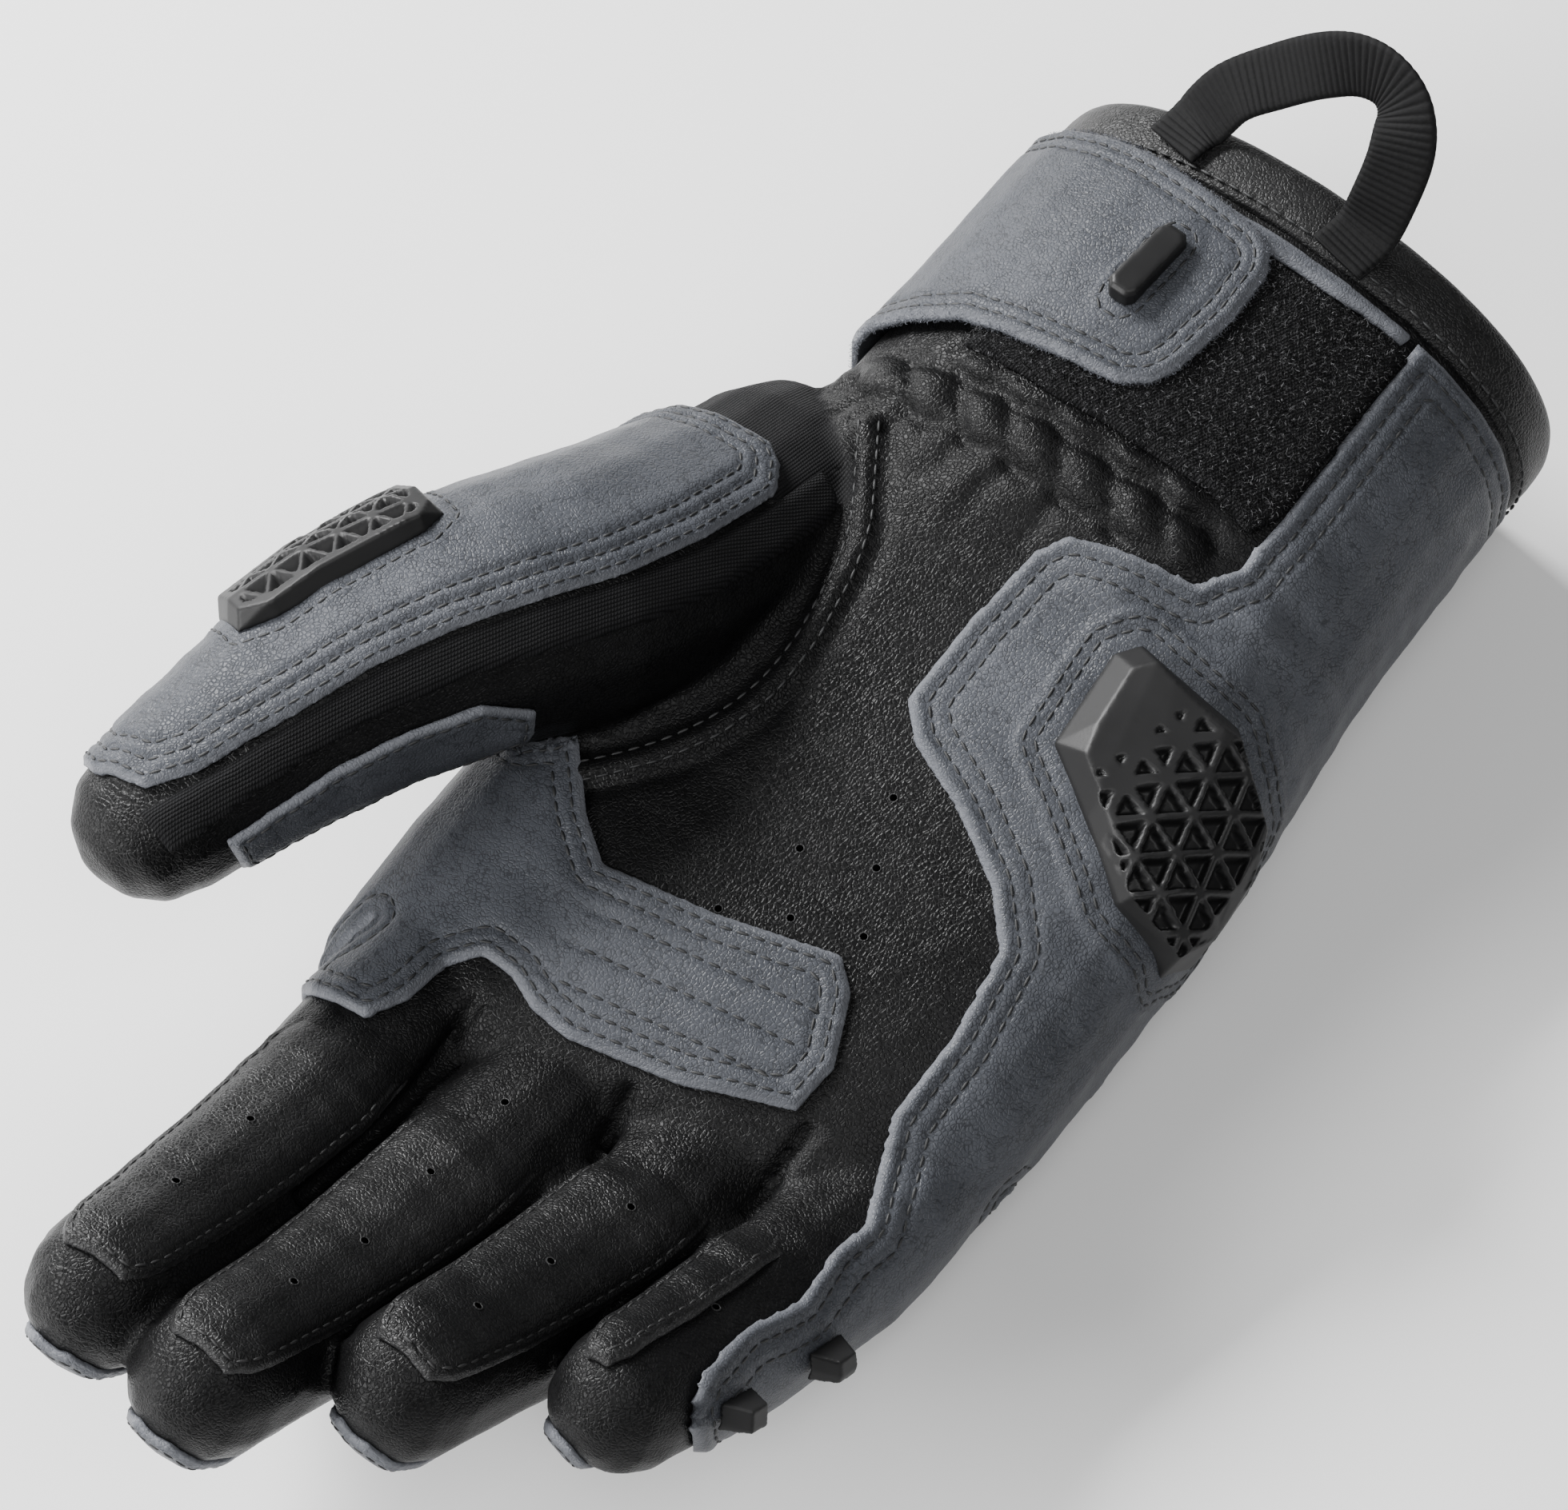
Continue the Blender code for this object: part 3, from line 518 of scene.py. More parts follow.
def threadMaterial(name, colour):
    made, tree, shader, coords = startMaterial(name, 0.6)
    twist = noiseNode(tree, coords, 3500.0, 2.0)
    shade = mixColour(tree, twist.outputs["Fac"], tuple(c * 0.5 for c in colour), colour)
    tree.links.new(shade, shader.inputs["Base Color"])
    addBump(tree, shader, twist.outputs["Fac"], 0.4, 0.0001)
    return made


finishes = {
    "blackHide": leather("blackHide", (0.0042, 0.0042, 0.0044), (0.0080, 0.0080, 0.0083), 1500.0, 0.5,
                         0.42, 0.24, 0.8, (0.018, 0.018, 0.0185)),
    "skinHide": leather("skinHide", (0.0030, 0.0030, 0.0032), (0.0060, 0.0060, 0.0063), 1500.0, 0.5,
                        0.40, 0.13, 0.5, (0.014, 0.014, 0.0145), 6200.0),
    "grayHide": leather("grayHide", (0.038, 0.041, 0.048), (0.060, 0.064, 0.074), 1500.0, 0.4,
                        0.42, 0.18, 1.25, (0.115, 0.120, 0.134)),
    "knit": knit("blackKnit", (0.0018, 0.0018, 0.002), (0.010, 0.010, 0.011), (0.0, 0.0, radians(25)),
                 6200.0, 6200.0),
    "rubber": rubber("moldedRubber", (0.0095, 0.0095, 0.0098), 0.45),
    "thread": threadMaterial("darkThread", (0.013, 0.0135, 0.0145)),
    "blackThread": threadMaterial("blackThread", (0.007, 0.007, 0.0075)),
}
print("materials ready")


# Glove leather: the body, fingers and thumb as one smooth skin with its folds

skinStyle = {
    "voxel": 1.12 * mm, "grow": 0.25 * mm, "evening": 6, "rimTrim": 2.5 * mm, "wall": 1.9 * mm,
    "insideShare": 0.2,
    # the way each hollow piece runs, with the step and overlap of its filling
    "parts": {
        "palm_shell": ((0, 1, 0), 5 * mm, 6 * mm), "index_finger": ((0.05, 1, 0), 4 * mm, 4 * mm),
        "middle_finger": ((0, 1, 0), 4 * mm, 4 * mm), "ring_finger": ((0, 1, 0), 4 * mm, 4 * mm),
        "little_finger": ((0, 1, 0), 4 * mm, 4 * mm), "thumb": ((0.58, 0.75, -0.3), 4 * mm, 4 * mm),
    },
    "lumps": 0.45 * mm, "lumpSize": (0.022, 0.03, 0.022),
    "foldDepth": 0.30 * mm, "foldSize": (0.016, 0.0042, 0.016),
    "pleatPitch": 9.5 * mm, "pleatStart": -0.201, "pleatSlant": 0.066, "pleatDepth": 2.0 * mm,
    "pleatRows": (0.268, 0.309, 0.355), "pleatSpan": (-0.47, 0.27),
    # seam round the thumb's base, as shares across and along
    "seamRoute": ((-0.330, 0.385), (-0.266, 0.438), (-0.222, 0.475), (-0.198, 0.540), (-0.185, 0.593),
                  (-0.197, 0.649), (-0.233, 0.697), (-0.280, 0.735), (-0.335, 0.768)),
    "seamHeight": 1.2 * mm,
    # slits between the fingers, where they leave the palm
    "slits": (((-0.236, 0.975), (-0.213, 1.064), (-0.207, 1.136), (-0.202, 1.205)),
              ((0.031, 0.960), (0.052, 1.031), (0.052, 1.100), (0.075, 1.180)),
              ((0.274, 0.900), (0.273, 0.952), (0.280, 1.017))),
    "slitDepth": 1.9 * mm,
    "pleatCovers": ("closure_strap", "loop_pad", "cuff_panel", "side_panel"), "pleatFade": 1.2 * mm,
    # the knit at the thumb's root: its edge as shares along and across, its end and how far it lies lower
    "knitAlong": (0.300, 0.368, 0.398, 0.420, 0.439, 0.470, 0.520),
    "knitAcross": (-0.520, -0.438, -0.365, -0.306, -0.268, -0.300, -0.360), "knitEnd": 0.56,
    "knitSink": 0.8 * mm,
}


def knitShare(points, style):
    across, along = shares(points)
    border = np.interp(along, style["knitAlong"], style["knitAcross"])
    return np.clip((border - across) / 0.012, 0, 1) * np.clip((style["knitEnd"] - along) / 0.012, 0, 1)


def filling(node, run, step, reach):
    # hulls of short overlapping stretches of a hollow piece, which fill it
    source = frame["nodes"][node].data
    corners, _, edges = arrays(source)
    first, last = corners[edges[:, 0]], corners[edges[:, 1]]
    points = np.concatenate([first + (last - first) * t for t in np.linspace(0, 1, 9)])
    run = np.array(run)
    along = points @ run
    mesh = bmesh.new()
    for start in np.arange(along.min(), along.max(), step):
        near = points[(along > start - reach) & (along < start + step + reach)]
        if len(near) < 6:
            continue
        centre = near.mean(axis=0)
        part = bmesh.new()
        for p in np.unique(near.round(4), axis=0):
            part.verts.new(centre + (p - centre) * 0.985)
        bmesh.ops.convex_hull(part, input=part.verts)
        bmesh.ops.delete(part, geom=[v for v in part.verts if not v.link_faces], context="VERTS")
        bmesh.ops.recalc_face_normals(part, faces=part.faces)
        data = bpy.data.meshes.new("stretch")
        part.to_mesh(data)
        part.free()
        mesh.from_mesh(data)
        bpy.data.meshes.remove(data)
    data = bpy.data.meshes.new("filling")
    mesh.to_mesh(data)
    mesh.free()
    return data


def trimmed(mesh, label, keep, limit):
    # one part of the mesh, cut off square below the rim
    work = bmesh.new()
    work.from_mesh(mesh)
    work.verts.ensure_lookup_table()
    own = (label == keep).tolist()
    bmesh.ops.delete(work, geom=[v for v in work.verts if not own[v.index]], context="VERTS")
    geom = work.verts[:] + work.edges[:] + work.faces[:]
    bmesh.ops.bisect_plane(work, geom=geom, dist=1e-6, plane_co=(0, limit, 0), plane_no=(0, 1, 0),
                           clear_outer=True)
    return work


def makeSkin(style, *nodes):
    mesh = meltedCopy(list(nodes), style["grow"])
    for node in nodes:
        mesh.from_mesh(filling(node, *style["parts"][node]))
    whole = voxelMesh(mesh, style["voxel"])
    points, tris, edges = arrays(whole)
    label = groupLabels(len(points), edges)
    names, counts = np.unique(label, return_counts=True)
    work = trimmed(whole, label, names[np.argmax(counts)], palmHigh.y - style["rimTrim"])
    data = bpy.data.meshes.new("gloveLeather")
    work.to_mesh(data)
    work.free()
    return data


def closeInside(mesh, style):
    # the leather's inner face, a thinner copy of the outer one turned over and joined to it at the rim
    work = linked("inside", mesh.copy())
    setPoints(work.data, arrays(mesh)[0] - normalsOf(mesh) * style["wall"])
    thin = work.modifiers.new("thin", "DECIMATE")
    thin.ratio = style["insideShare"]
    inner = evaluated(work)
    bpy.data.objects.remove(work)
    joined = bmesh.new()
    joined.from_mesh(inner)
    bmesh.ops.reverse_faces(joined, faces=joined.faces)
    flipped = bpy.data.meshes.new("flipped")
    joined.to_mesh(flipped)
    joined.free()
    joined = bmesh.new()
    joined.from_mesh(mesh)
    joined.from_mesh(flipped)
    bmesh.ops.bridge_loops(joined, edges=[e for e in joined.edges if e.is_boundary])
    joined.to_mesh(mesh)
    joined.free()
    bpy.data.meshes.remove(flipped)
    return mesh


def wristPleats(points, style):
    # puffs between the elastic's stitch rows, each crease leaning as it runs towards the cuff
    across, along = shares(points)
    low, middle, high = style["pleatRows"]
    start, end = style["pleatSpan"]
    span = np.clip((across - start) / 0.08, 0, 1) * np.clip((end - across) / 0.08, 0, 1)
    pitch = style["pleatPitch"] / glove["palmWidth"]
    slant = style["pleatSlant"] * (along - high) / (high - middle)
    wobble = 0.010 * noiseField(points, (0.013, 0.013, 0.013), 4.0)
    u = ((across - style["pleatStart"] - slant + wobble) / pitch) % 1.0
    puff = np.sin(pi * u ** 0.82) ** 0.34
    lift = np.zeros(len(points))
    for first, last, size in ((low, middle, 0.85), (middle, high, 1.0)):
        v = np.clip((along - first) / (last - first), 0, 1)
        lift += np.sin(pi * v) ** 0.4 * (puff * 1.25 - 0.65) * size
    down = np.clip((along - high) / 0.085, 0, 1)
    fan = ((across - style["pleatStart"] + down * 0.03 + wobble * 2) / pitch) % 1.0
    lift += (np.sin(pi * fan) ** 0.6 - 0.6) * (1 - down) ** 1.5 * (along > high) * 0.8
    for row in (middle, high):
        lift -= 0.5 * hill(along - row - 0.004 * np.sin(pi * u * 2), 0.0062)
    fine = noiseField(points, (0.0035, 0.010, 0.0035), 6.0) * 0.14
    near = hill(along - (middle + high) / 2, 0.05)
    return (lift + fine * near) * span * style["pleatDepth"]


def fingerFolds(points, style):
    # fine folds across the fingers and the thumb web, strongest where they bend
    across, along = shares(points)
    folds = noiseField(points, style["foldSize"], 3.1)
    where = 0.35 + 0.65 * hill(along - 0.98, 0.10) + 0.5 * hill(along - 1.22, 0.06)
    return folds * where * style["foldDepth"]


def sculptSkin(mesh, style, wrinkled=True):
    # evens out the skin and lays its folds on it; calm points lack the wrist's pleats and the slits
    points, tris, edges = arrays(mesh)
    points = relaxed(points, edges, style["evening"])
    setPoints(mesh, points)
    up = normalsOf(mesh)
    palmSide = np.clip(up[:, 2] * 2, 0, 1)
    flat = np.clip((points[:, 2] - 3 * mm) / (6 * mm), 0, 1)
    move = noiseField(points, style["lumpSize"]) * style["lumps"]
    move += fingerFolds(points, style)
    calm = points + up * (move * flat)[:, None]
    calm[:, 2] = np.maximum(calm[:, 2], 1.9 * mm)
    if not wrinkled:
        setPoints(mesh, calm)
        return calm, tris
    wrist = np.where((points[:, 1] > plan(0, 0.46).y) & (points[:, 2] > 20 * mm))[0]
    covers = [distances(cadTree(node), points[wrist]) for node in style["pleatCovers"]]
    bare = np.ones(len(points))
    bare[wrist] = np.min(covers, axis=0) / style["pleatFade"] - 0.5
    move += wristPleats(points, style) * palmSide * np.clip(bare, 0, 1)
    move -= knitShare(points, style) * style["knitSink"]
    ridge = flatDistance(points, style["seamRoute"])
    seam = hill(ridge, 1.7 * mm) - 0.45 * hill(ridge - 3.2 * mm, 1.2 * mm)
    move += seam * palmSide * style["seamHeight"]
    for slit in style["slits"]:
        move -= hill(flatDistance(points, slit), 1.0 * mm) * np.clip(up[:, 2] * 4, 0, 1) * style["slitDepth"]
    points = points + up * (move * flat)[:, None]
    points[:, 2] = np.maximum(points[:, 2], 1.9 * mm)
    setPoints(mesh, points)
    return calm, tris


outer = makeSkin(skinStyle, *skinStyle["parts"])
calmPoints, skinTris = sculptSkin(outer, skinStyle)
skinPoints = arrays(outer)[0]
skinTree, calmTree = treeOf(skinPoints, skinTris), treeOf(calmPoints, skinTris)
skin = linked("gloveLeather", closeInside(outer, skinStyle))
addValue(skin.data, "edge", np.full(len(skin.data.vertices), 20.0))
addValue(skin.data, "knitted", knitShare(arrays(skin.data)[0], skinStyle))
finish(skin, finishes["skinHide"], "black_leather", "palm_shell", "index_finger", "middle_finger",
       "ring_finger", "little_finger", "thumb")
print("skin:", len(skinTris), "triangles outside,", len(skin.data.polygons), "faces in all")

# smooth skins of single fingers, on which their own panels are seated
seatTrees = {"skin": skinTree, "calm": calmTree}
for node in list(skinStyle["parts"])[1:]:
    single = makeSkin(skinStyle, node)
    seatTrees[node] = treeOf(*sculptSkin(single, skinStyle, False))
    bpy.data.meshes.remove(single)


def onTop(tree, route, offset=0.0, step=0.8 * mm):
    # a route of shares, moved sideways and laid on what it crosses from above
    flat = np.array([plan(*p)[:2] for p in route])
    for _ in range(3):
        middle = (flat[1:] + flat[:-1]) / 2
        flat = np.concatenate([flat[:1], np.column_stack([flat[:-1] * 0.25 + middle * 0.75,
                               flat[1:] * 0.25 + middle * 0.75]).reshape(-1, 2), flat[-1:]])
    run = np.concatenate([[0], np.cumsum(np.linalg.norm(np.diff(flat, axis=0), axis=1))])
    places = np.arange(0, run[-1], step)
    spots = np.column_stack([np.interp(places, run, flat[:, k]) for k in range(2)])
    ahead = np.gradient(spots, axis=0)
    ahead /= np.linalg.norm(ahead, axis=1)[:, None]
    spots += np.column_stack([-ahead[:, 1], ahead[:, 0]]) * offset
    found = [tree.ray_cast(Vector((x, y, 0.2)), Vector((0, 0, -1)))[0] for x, y in spots.tolist()]
    return smoothLine(np.array([p for p in found if p is not None]), False, 2)


# Panels sewn on the skin

stitchLines = {}


def sewn(group, lines):
    stitchLines.setdefault(group, []).extend(lines)


def cadSides(node, tree):
    # the outer sheet, inner sheet and walls of a panel's solid, as search trees
    mesh = meltedCopy([node])
    bmesh.ops.triangulate(mesh, faces=mesh.faces)
    sheets = {"top": [], "bottom": [], "wall": []}
    spots = [v.co.copy() for v in mesh.verts]
    for face in mesh.faces:
        away = tree.find_nearest(face.calc_center_median())[1]
        lean = face.normal.dot(away)
        side = "top" if lean > 0.82 else "bottom" if lean < -0.82 else "wall"
        sheets[side].append([v.index for v in face.verts])
    mesh.free()
    return {side: BVHTree.FromPolygons(spots, faces) for side, faces in sheets.items()}


def hemmed(edge, style):
    # height share of the top over the distance from the outline: round edge, hem, grooves of stitches
    shape = 1 - style.get("roundness", 0.5) * hill(edge, 0.75 * mm)
    shape += style.get("hem", 0.16) * hill(edge - 1.5 * mm, 0.9 * mm)
    for row in style["rows"]:
        shape -= style.get("groove", 0.26) * hill(edge - row * mm, 0.5 * mm)
    return shape


def longOnes(lines, least=9 * mm, leastRound=32 * mm):
    return [(smoothLine(line, closed), closed) for line, closed in lines
            if lineLength(line) > (leastRound if closed else least)]


def ringShape(ring, style):
    # a second layer sewn round a rubber piece
    wide = style["width"] * mm
    lift = np.clip((wide - ring) / (0.5 * mm), 0, 1) * style["lift"] * mm
    lift += hill(ring - wide + 0.7 * mm, 0.6 * mm) * 0.15 * mm
    for row in style["rows"]:
        lift -= hill(ring - row * mm, 0.5 * mm) * 0.4 * mm
    return lift


def thinned(mesh, under):
    # a copy of a panel whose hidden underside has far fewer faces
    work = linked("work", mesh)
    work.vertex_groups.new(name="under").add(np.where(under)[0].tolist(), 1.0, "REPLACE")
    thin = work.modifiers.new("thin", "DECIMATE")
    thin.ratio = 1 - 0.9 * under.mean()
    thin.vertex_group = "under"
    data = evaluated(work)
    work.vertex_groups.clear()
    bpy.data.objects.remove(work)
    return data


def makePanel(node, style, shape=None):
    tree = seatTrees[style["on"]]
    sides = cadSides(node, tree)
    mesh = voxelMesh(meltedCopy([node]), style["voxel"] * mm)
    points, tris, edges = arrays(mesh)
    points = relaxed(points, edges, 2)
    edge = distances(sides["wall"], points)
    toTop, toBottom = distances(sides["top"], points), distances(sides["bottom"], points)
    level = toBottom / (toTop + toBottom + 1e-9)
    if "widened" in style:
        points[:, 0] += style["widened"] * mm * np.clip(shares(points)[0] / 0.1 - 1, 0, 1)
    spots, away = seats(tree, points)
    away = spread(away, edges, 5)
    away /= np.linalg.norm(away, axis=1)[:, None]
    thick = style.get("thick", 1.35) * mm
    rounded = 1 - level + level * hemmed(edge, style)
    height = style.get("base", 0.0) * mm + (level * 1.15 - 0.15) * thick * rounded
    if shape:
        height = height + shape(points, edge) * level
    inward = spread(edge, edges, 3)
    ring = None
    if "round" in style:
        ring = distances(treeOf(*arrays(frame["nodes"][style["round"]["node"]].data)[:2]), points)
        height = height + ringShape(ring, style["round"]) * level
    points = spots + away * height[:, None]
    points = relaxed(points, edges, style.get("evening", 1))
    points[:, 2] = np.maximum(points[:, 2], 0.05 * mm)
    setPoints(mesh, points)
    addValue(mesh, "edge", np.where(level > 0.3, inward, 0) / mm)
    panel = linked(style["name"], thinned(mesh, level < 0.4))
    top = level > 0.55
    if "sinks" in style:
        top &= shares(points)[1] > shares(points)[1].min() + 0.045
    for row in style["rows"]:
        lines = isoLines(points, tris, inward, row * mm, top)
        sewn(style.get("stitches", "palm"), longOnes(lines))
    for row in style["round"]["rows"] if ring is not None else ():
        lines = isoLines(points, tris, spread(ring, edges, 2), row * mm, top & (inward > 1.2 * mm))
        sewn(style.get("stitches", "palm"), longOnes(lines))
    finish(panel, finishes[style["finish"]], style["slot"], node)
    print(style["name"], len(tris), "triangles before thinning")
    return mesh, points, tris, level, inward


def foldedShape(size, depth, seed):
    def shape(points, edge):
        folds = noiseField(points, size, seed)
        return folds * depth * np.clip(edge / (3 * mm), 0, 1)
    return shape


gripStyle = {"channels": (0.842, 0.875, 0.908), "slope": -0.115, "from": -0.17, "to": 0.21}


def gripShape(points, edge):
    # sewn channels along the bar of the patch
    across, along = shares(points)
    lift = noiseField(points, (0.012, 0.006, 0.012), 7.0) * 0.16 * mm
    on = np.clip((across + 0.20) / 0.03, 0, 1)
    for start in gripStyle["channels"]:
        line = (along - (start + gripStyle["slope"] * across)) * glove["bodyLength"]
        lift -= 0.5 * mm * hill(line, 0.75 * mm) * on * np.clip(edge / (3 * mm), 0, 1)
    return lift


def cuffShape(points, edge):
    # the panel's end under the strap lies below the skin, as the photo shows no end there
    across, along = shares(points)
    hidden = np.clip((along - 0.235) / 0.02, 0, 1) * np.clip((-0.18 - across) / 0.03, 0, 1)
    return -2.6 * mm * hidden


# Voxels, the rows' distances from the outline, widths and heights are in millimetres
gray = {"finish": "grayHide", "slot": "gray_leather"}
black = {"finish": "blackHide", "slot": "black_leather"}
knitted = {"finish": "knit", "slot": "black_knit"}
panels = {
    "side_panel": {
        **gray, "name": "sidePanel", "on": "calm", "evening": 2, "voxel": 0.72, "rows": (2.9, 5.7),
        "thick": 1.45, "round": {"node": "palm_slider", "rows": (2.6, 4.4), "width": 5.8, "lift": 0.55}},
    "grip_patch": {**gray, "name": "gripPatch", "on": "calm", "voxel": 0.56, "rows": (1.9, 4.3),
                   "thick": 1.5},
    "cuff_panel": {**gray, "name": "cuffPanel", "on": "calm", "voxel": 0.75, "rows": (2.2,),
                   "stitches": "cuff"},
    "hand_back": {**knitted, "name": "handBack", "on": "calm", "voxel": 1.1, "rows": (2.5,), "thick": 1.6,
                  "stitches": "cuff"},
    "loop_pad": {"name": "loopPad", "on": "calm", "voxel": 0.8, "rows": (), "finish": "knit",
                 "slot": "pad_fleece", "thick": 1.5, "widened": 2.4},
}
for side, look in (("Front", {**black, "rows": (1.8,), "sinks": True}), ("Back", {**gray, "rows": (1.6,)})):
    for finger in ("index", "middle", "ring", "little"):
        panels[finger + "_" + side.lower()] = {
            **look, "name": finger + side, "on": finger + "_finger", "voxel": 0.5, "stitches": "fingers"}
panels["thumb_top"] = {
    **gray, "name": "thumbTop", "on": "thumb", "voxel": 0.64, "rows": (1.7, 3.9, 6.3), "thick": 1.6,
    "stitches": "thumb", "round": {"node": "thumb_guard", "rows": (2.0,), "width": 3.0, "lift": 0.3}}
panels["thumb_knit"] = {**knitted, "name": "thumbKnit", "on": "thumb", "voxel": 0.5, "rows": (),
                        "thick": 0.9, "hem": 0.0}
panels["thumb_web_strip"] = {**gray, "name": "thumbWebStrip", "on": "thumb", "voxel": 0.5, "rows": (1.6,),
                             "stitches": "thumb"}


def sinking(points, edge):
    # the panel runs into the palm at its root, without an end of its own
    along = shares(points)[1]
    return -1.9 * mm * np.clip(1 - (along - along.min()) / 0.05, 0, 1) + noiseField(
        points, (0.014, 0.0036, 0.014), 2.0) * 0.28 * mm * np.clip(edge / (3 * mm), 0, 1)


panelShapes = {
    "index_front": sinking,
    "middle_front": sinking,
    "ring_front": sinking,
    "little_front": sinking,
    "side_panel": foldedShape((0.010, 0.0045, 0.010), 0.32 * mm, 1.0),
    "grip_patch": gripShape,
    "cuff_panel": cuffShape,
    "thumb_top": foldedShape((0.012, 0.006, 0.012), 0.22 * mm, 5.0),
}
laidPanels = {}
for node, style in panels.items():
    laidPanels[node] = makePanel(node, style, shape=panelShapes.get(node))
gripTree = treeOf(*laidPanels["grip_patch"][1:3])
for start in gripStyle["channels"]:
    ends = [(x, start + gripStyle["slope"] * x) for x in (gripStyle["from"], gripStyle["to"])]
    sewn("palm", [(onTop(gripTree, ends)[4:-4], False)])

# The strap lies over the pad and the cuff panel
strapStyle = {"name": "closureStrap", "on": "calm", "voxel": 0.56, "rows": (2.3, 4.5), "finish": "grayHide",
              "slot": "gray_leather", "base": 1.75, "thick": 1.6, "stitches": "cuff",
              "round": {"node": "strap_button", "rows": (2.1,), "width": 3.2, "lift": 0.35}}
strapMesh, _, _, strapLevel, strapIn = makePanel(
    "closure_strap", strapStyle, shape=foldedShape((0.02, 0.012, 0.02), 0.25 * mm, 9.0))


# Rubber pieces

def hullOf(node):
    mesh = meltedCopy([node])
    bmesh.ops.convex_hull(mesh, input=mesh.verts)
    loose = [v for v in mesh.verts if not v.link_faces]
    bmesh.ops.delete(mesh, geom=loose, context="VERTS")
    inside = [f for f in mesh.faces if any(len(e.link_faces) > 2 for e in f.edges)]
    if inside:
        points = [v.co.copy() for v in mesh.verts]
        mesh.free()
        mesh = bmesh.new()
        for p in points:
            mesh.verts.new(p)
        bmesh.ops.convex_hull(mesh, input=mesh.verts)
        loose = [v for v in mesh.verts if not v.link_faces]
        bmesh.ops.delete(mesh, geom=loose, context="VERTS")
    bmesh.ops.recalc_face_normals(mesh, faces=mesh.faces)
    return mesh


def widened(share):
    # stretches a long piece across its length
    def stretch(points, up):
        middle = points.mean(axis=0)
        length = np.linalg.eigh(np.cov((points - middle).T))[1][:, 2]
        way = np.cross(length, (0, 0, 1))
        way /= np.linalg.norm(way)
        return points + ((points - middle) @ way)[:, None] * way * share
    return stretch


def softSolid(node, style, lift=0.0, carve=None):
    # a moulded piece from its solid, seated on the skin below it
    source = hullOf(node) if style.get("hull") else meltedCopy([node])
    mesh = voxelMesh(source, style["voxel"] * mm)
    points, tris, edges = arrays(mesh)
    points = relaxed(points, edges, style.get("evening", 3))
    setPoints(mesh, points)
    if carve:
        points = carve(points, normalsOf(mesh))
    if lift:
        spots, away = seats(skinTree, points)
        height = ((points - spots) * away).sum(axis=1)
        low = height < lift
        points[low] = spots[low] + away[low] * lift
    setPoints(mesh, points)
    addValue(mesh, "edge", np.full(len(points), 20.0))
    made = linked(style["name"], mesh)
    finish(made, finishes[style["finish"]], style["slot"], node)
    print(style["name"], len(tris), "triangles")
    return made, (points, tris, edges)


sliderStyle = {"name": "palmSlider", "voxel": 0.38, "hull": True, "finish": "rubber", "slot": "rubber",
               "evening": 2, "cell": 6.4 * mm, "rib": 0.42 * mm, "depth": 2.6 * mm,
               "along": (0.88, -0.21, -0.42), "starts": -11 * mm, "reach": 15 * mm}


def topFace(node):
    # the way that a piece's largest outer faces look, and their middle
    mesh = meltedCopy([node])
    bmesh.ops.triangulate(mesh, faces=mesh.faces)
    faces = [f for f in mesh.faces if f.normal.z > 0.45]
    best = max(faces, key=lambda f: sum(g.calc_area() for g in faces if g.normal.dot(f.normal) > 0.97))
    same = [f for f in faces if f.normal.dot(best.normal) > 0.97]
    total = sum(f.calc_area() for f in same)
    facing = sum((f.normal * f.calc_area() for f in same), Vector()).normalized()
    middle = sum((f.calc_center_median() * f.calc_area() for f in same), Vector()) / total
    mesh.free()
    return facing, middle


def frameReach(node, facing, points):
    # how far each point lies inside the piece's side walls
    mesh = hullOf(node)
    bmesh.ops.triangulate(mesh, faces=mesh.faces)
    spots = [v.co.copy() for v in mesh.verts]
    walls = [[v.index for v in f.verts] for f in mesh.faces if f.normal.dot(facing) < 0.6]
    mesh.free()
    return distances(BVHTree.FromPolygons(spots, walls), points)


def latticeCarve(style, facing, middle, framed=None):
    # triangular pockets between ribs, which grow deeper and wider along the piece
    along = Vector(style["along"])
    along = (along - facing * along.dot(facing)).normalized()
    wide = facing.cross(along)
    cell = style["cell"]

    def carve(points, up):
        local = points - np.array(middle)
        a, b = local @ np.array(along), local @ np.array(wide)
        nearest = np.full(len(points), 1.0)
        for k in range(3):
            angle = pi * k / 3 + pi / 2
            u = (a * cos(angle) + b * sin(angle)) / (cell * 0.866)
            nearest = np.minimum(nearest, np.abs(u - np.round(u)) * cell * 0.866)
        share = np.clip((a - style["starts"]) / style["reach"], 0, 1)
        rib = style["rib"] + (1 - share) ** 1.3 * cell * 0.24
        inside = np.clip((nearest - rib) / (0.5 * mm), 0, 1)
        outward = np.clip(((up @ np.array(facing)) - 0.55) / 0.2, 0, 1)
        depth = style["depth"] * (0.4 + 0.6 * share) * inside * outward * (share > 0)
        if framed:
            depth *= np.clip((frameReach(framed, facing, points) - style["frame"]) / (0.3 * mm), 0, 1)
        return points - np.array(facing) * depth[:, None]
    return carve


sliderFacing, sliderMiddle = topFace("palm_slider")
print("slider faces", [round(v, 2) for v in sliderFacing])
softSolid("palm_slider", sliderStyle, 1.2 * mm, latticeCarve(sliderStyle, sliderFacing, sliderMiddle))

